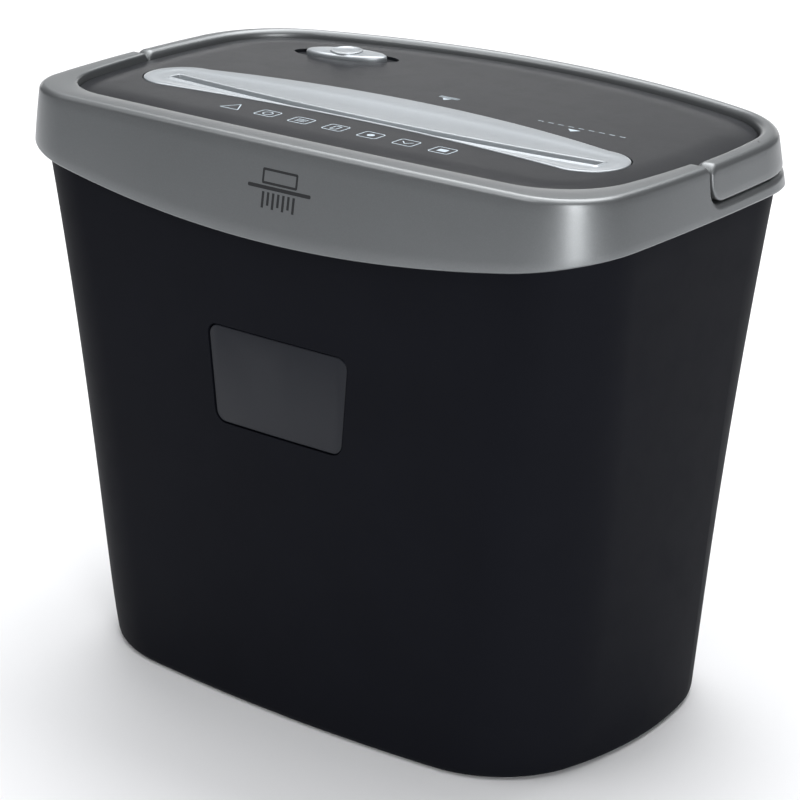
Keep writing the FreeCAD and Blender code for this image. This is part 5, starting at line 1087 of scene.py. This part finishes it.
class SHREDDER_OT_marks(bpy.types.Operator):
    """Print plain generic marks on the panel and the band"""

    bl_idname = "shredder.marks"
    bl_label = "Printed marks"

    def execute(self, context):
        size = sizes()
        top = bmesh.new()
        for k, glyph in enumerate(GLYPHS):
            x = (k - (len(GLYPHS) - 1) / 2) * GLYPH_PITCH
            glyph(top, x, GLYPH_Y)
            if glyph is not glyph_triangle:
                outline_mark(top, box_points((x, GLYPH_Y), 5.0 * MM, 4.3 * MM), 1.5 * MM, LINE)
        for y in (14 * MM, 12.6 * MM):
            rounded_face(top, bar_points((ARROW_X - 5 * MM, y), (ARROW_X + 5 * MM, y), LINE), 0)
        rounded_face(top, pointer_points((ARROW_X, 8.8 * MM), 2.3 * MM, 2.8 * MM), 0)
        rounded_face(top, pointer_points((TICK_X, 0), 3 * MM, 3.2 * MM), 0)
        for k in range(9):
            x = TICK_X + (5 * k - 20) * MM
            rounded_face(top, bar_points((x, TICK_Y), (x + 2.6 * MM, TICK_Y), LINE), 0)
        raise_marks(top, size.print_thick)
        bmesh.ops.translate(top, verts=top.verts, vec=(0, 0, size.panel_top - 0.02 * MM))
        panel_marks = as_object(top, "panel_marks")
        settle(panel_marks, "head", "bezel_silver", FINISHES["ink"])
        band_marks = as_object(self.sheet_mark(), "band_mark")
        settle(band_marks, "head", "panel_plastic", FINISHES["dark_ink"])
        return {"FINISHED"}

    def sheet_mark(self):
        """A sheet above a slot with strips falling below it."""
        bm = bmesh.new()
        x, z = 5.5 * MM, 240 * MM
        outline_mark(bm, box_points((x, z + 4.6 * MM), 9 * MM, 3.2 * MM), 0.8 * MM, 1.0 * MM)
        rounded_face(bm, box_points((x, z), 16 * MM, 0.75 * MM), 0.6 * MM)
        for k in range(7):
            strip = x + (k - 3) * 2.6 * MM
            drop = (5.4 if k % 2 else 6.6) * MM
            rounded_face(bm, box_points((strip, z - 1.7 * MM - drop / 2), 0.6 * MM, drop / 2), 0)
        bmesh.ops.subdivide_edges(bm, edges=[e for e in bm.edges if e.calc_length() > 8 * MM], cuts=6)
        raise_marks(bm, sizes().print_thick)
        for vert in bm.verts:
            across, height, rise = vert.co
            _, front, _, front_bow, *_ = band_shape(height, 0.02 * MM - rise)
            vert.co = Vector((across, front_bow - front - math.sqrt(front_bow ** 2 - across ** 2), height))
        bmesh.ops.recalc_face_normals(bm, faces=bm.faces)
        return bm


# -------------------- everything inside


class SHREDDER_OT_works(bpy.types.Operator):
    """Give every carried-over part its finish"""

    bl_idname = "shredder.works"
    bl_label = "Works"

    def execute(self, context):
        for entry in frame["record"]["subparts"]:
            thing = frame["nodes"][entry["node"]]
            thing.data.materials.clear()
            thing.data.materials.append(FINISHES[entry["material_slot"]])
        return {"FINISHED"}


# -------------------- stage


def soft_light(name, place, target, wide, tall, power):
    lamp = bpy.data.lights.new(name, "AREA")
    lamp.shape = "RECTANGLE"
    lamp.size = wide
    lamp.size_y = tall
    lamp.energy = power
    light = bpy.data.objects.new(name, lamp)
    light.location = place
    light.rotation_euler = (Vector(target) - Vector(place)).to_track_quat("-Z", "Y").to_euler()
    bpy.context.scene.collection.objects.link(light)
    return light


class SHREDDER_OT_stage(bpy.types.Operator):
    """Set the pale floor, the soft lights and the camera"""

    bl_idname = "shredder.stage"
    bl_label = "Stage"

    def execute(self, context):
        scene = bpy.context.scene
        scene.view_settings.view_transform = "Standard"
        bm = bmesh.new()
        bmesh.ops.create_grid(bm, x_segments=2, y_segments=2, size=6.0)
        floor = as_object(bm, "floor")
        pale = Finish("pale_floor")
        drift = pale.noise(0.4, 3.0)
        pale.set(Base_Color=pale.mix(drift, tinted(colours().floor, 0.99), colours().floor))
        pale.set(Roughness=0.6 + 0.1 * drift)
        floor.data.materials.append(pale.material)
        world = bpy.data.worlds.new("studio")
        world.use_nodes = True
        world.node_tree.nodes["Background"].inputs["Color"].default_value = (0.93, 0.95, 1.0, 1)
        world.node_tree.nodes["Background"].inputs["Strength"].default_value = 0.1
        scene.world = world
        middle = (0, 0, 0.14)
        soft_light("overhead", (-0.15, 0.1, 2.0), (-0.15, 0.0, 0), 2.4, 2.2, 37)
        soft_light("back_wash", (-0.7, 1.6, 2.7), (-0.7, 1.6, 0), 3.0, 2.4, 80)
        soft_light("corner_strip", (1.10, -0.86, 0.45), (0, 0, 0.24), 0.44, 0.75, 9)
        soft_light("front_key", (-0.85, -1.45, 1.7), middle, 1.3, 0.6, 9)
        soft_light("low_card", (-1.48, 2.02, 0.36), (0, 0, 0.25), 3.0, 0.6, 10)
        self.camera(scene)
        return {"FINISHED"}

    def camera(self, scene):
        """Stands to the front right, a little above the rim."""
        azimuth = math.radians(36.17)
        elevation = math.radians(18.94)
        roll = math.radians(1.31)
        back = Vector((math.sin(azimuth) * math.cos(elevation), -math.cos(azimuth) * math.cos(elevation),
                       math.sin(elevation)))
        right = Vector((math.cos(azimuth), math.sin(azimuth), 0))
        up = back.cross(right)
        level = right * math.cos(roll) + up * math.sin(roll)
        upright = up * math.cos(roll) - right * math.sin(roll)
        data = bpy.data.cameras.new("camera")
        data.sensor_width = 36.0
        data.lens = 113.76
        data.shift_x = -0.0026
        data.shift_y = -0.0999
        data.clip_start = 0.05
        data.clip_end = 50.0
        camera = bpy.data.objects.new("camera", data)
        turned = Matrix((level, upright, back)).transposed().to_4x4()
        camera.matrix_world = Matrix.Translation((0.616397, -0.853126, 0.518399)) @ turned
        scene.collection.objects.link(camera)
        scene.camera = camera


# -------------------- add-on

OPERATORS = (
    SHREDDER_OT_finishes,
    SHREDDER_OT_works,
    SHREDDER_OT_bin,
    SHREDDER_OT_band,
    SHREDDER_OT_handle,
    SHREDDER_OT_panel,
    SHREDDER_OT_bezel,
    SHREDDER_OT_knob,
    SHREDDER_OT_marks,
    SHREDDER_OT_stage,
)


class SHREDDER_PT_panel(bpy.types.Panel):
    """Lists the shredder's pieces in the sidebar"""

    bl_idname = "SHREDDER_PT_panel"
    bl_label = "Paper Shredder"
    bl_space_type = "VIEW_3D"
    bl_region_type = "UI"
    bl_category = "Shredder"

    def draw(self, context):
        for operator in OPERATORS:
            self.layout.operator(operator.bl_idname)


CLASSES = (ShredderSizes, ShredderColours, *OPERATORS, SHREDDER_PT_panel)


def register():
    for entry in CLASSES:
        bpy.utils.register_class(entry)
    bpy.types.Scene.shredder_sizes = PointerProperty(type=ShredderSizes)
    bpy.types.Scene.shredder_colours = PointerProperty(type=ShredderColours)


def unregister():
    del bpy.types.Scene.shredder_colours
    del bpy.types.Scene.shredder_sizes
    for entry in reversed(CLASSES):
        bpy.utils.unregister_class(entry)


def main():
    register()
    for operator in OPERATORS:
        space, name = operator.bl_idname.split(".")
        getattr(getattr(bpy.ops, space), name)()


if __name__ == "__main__":
    main()
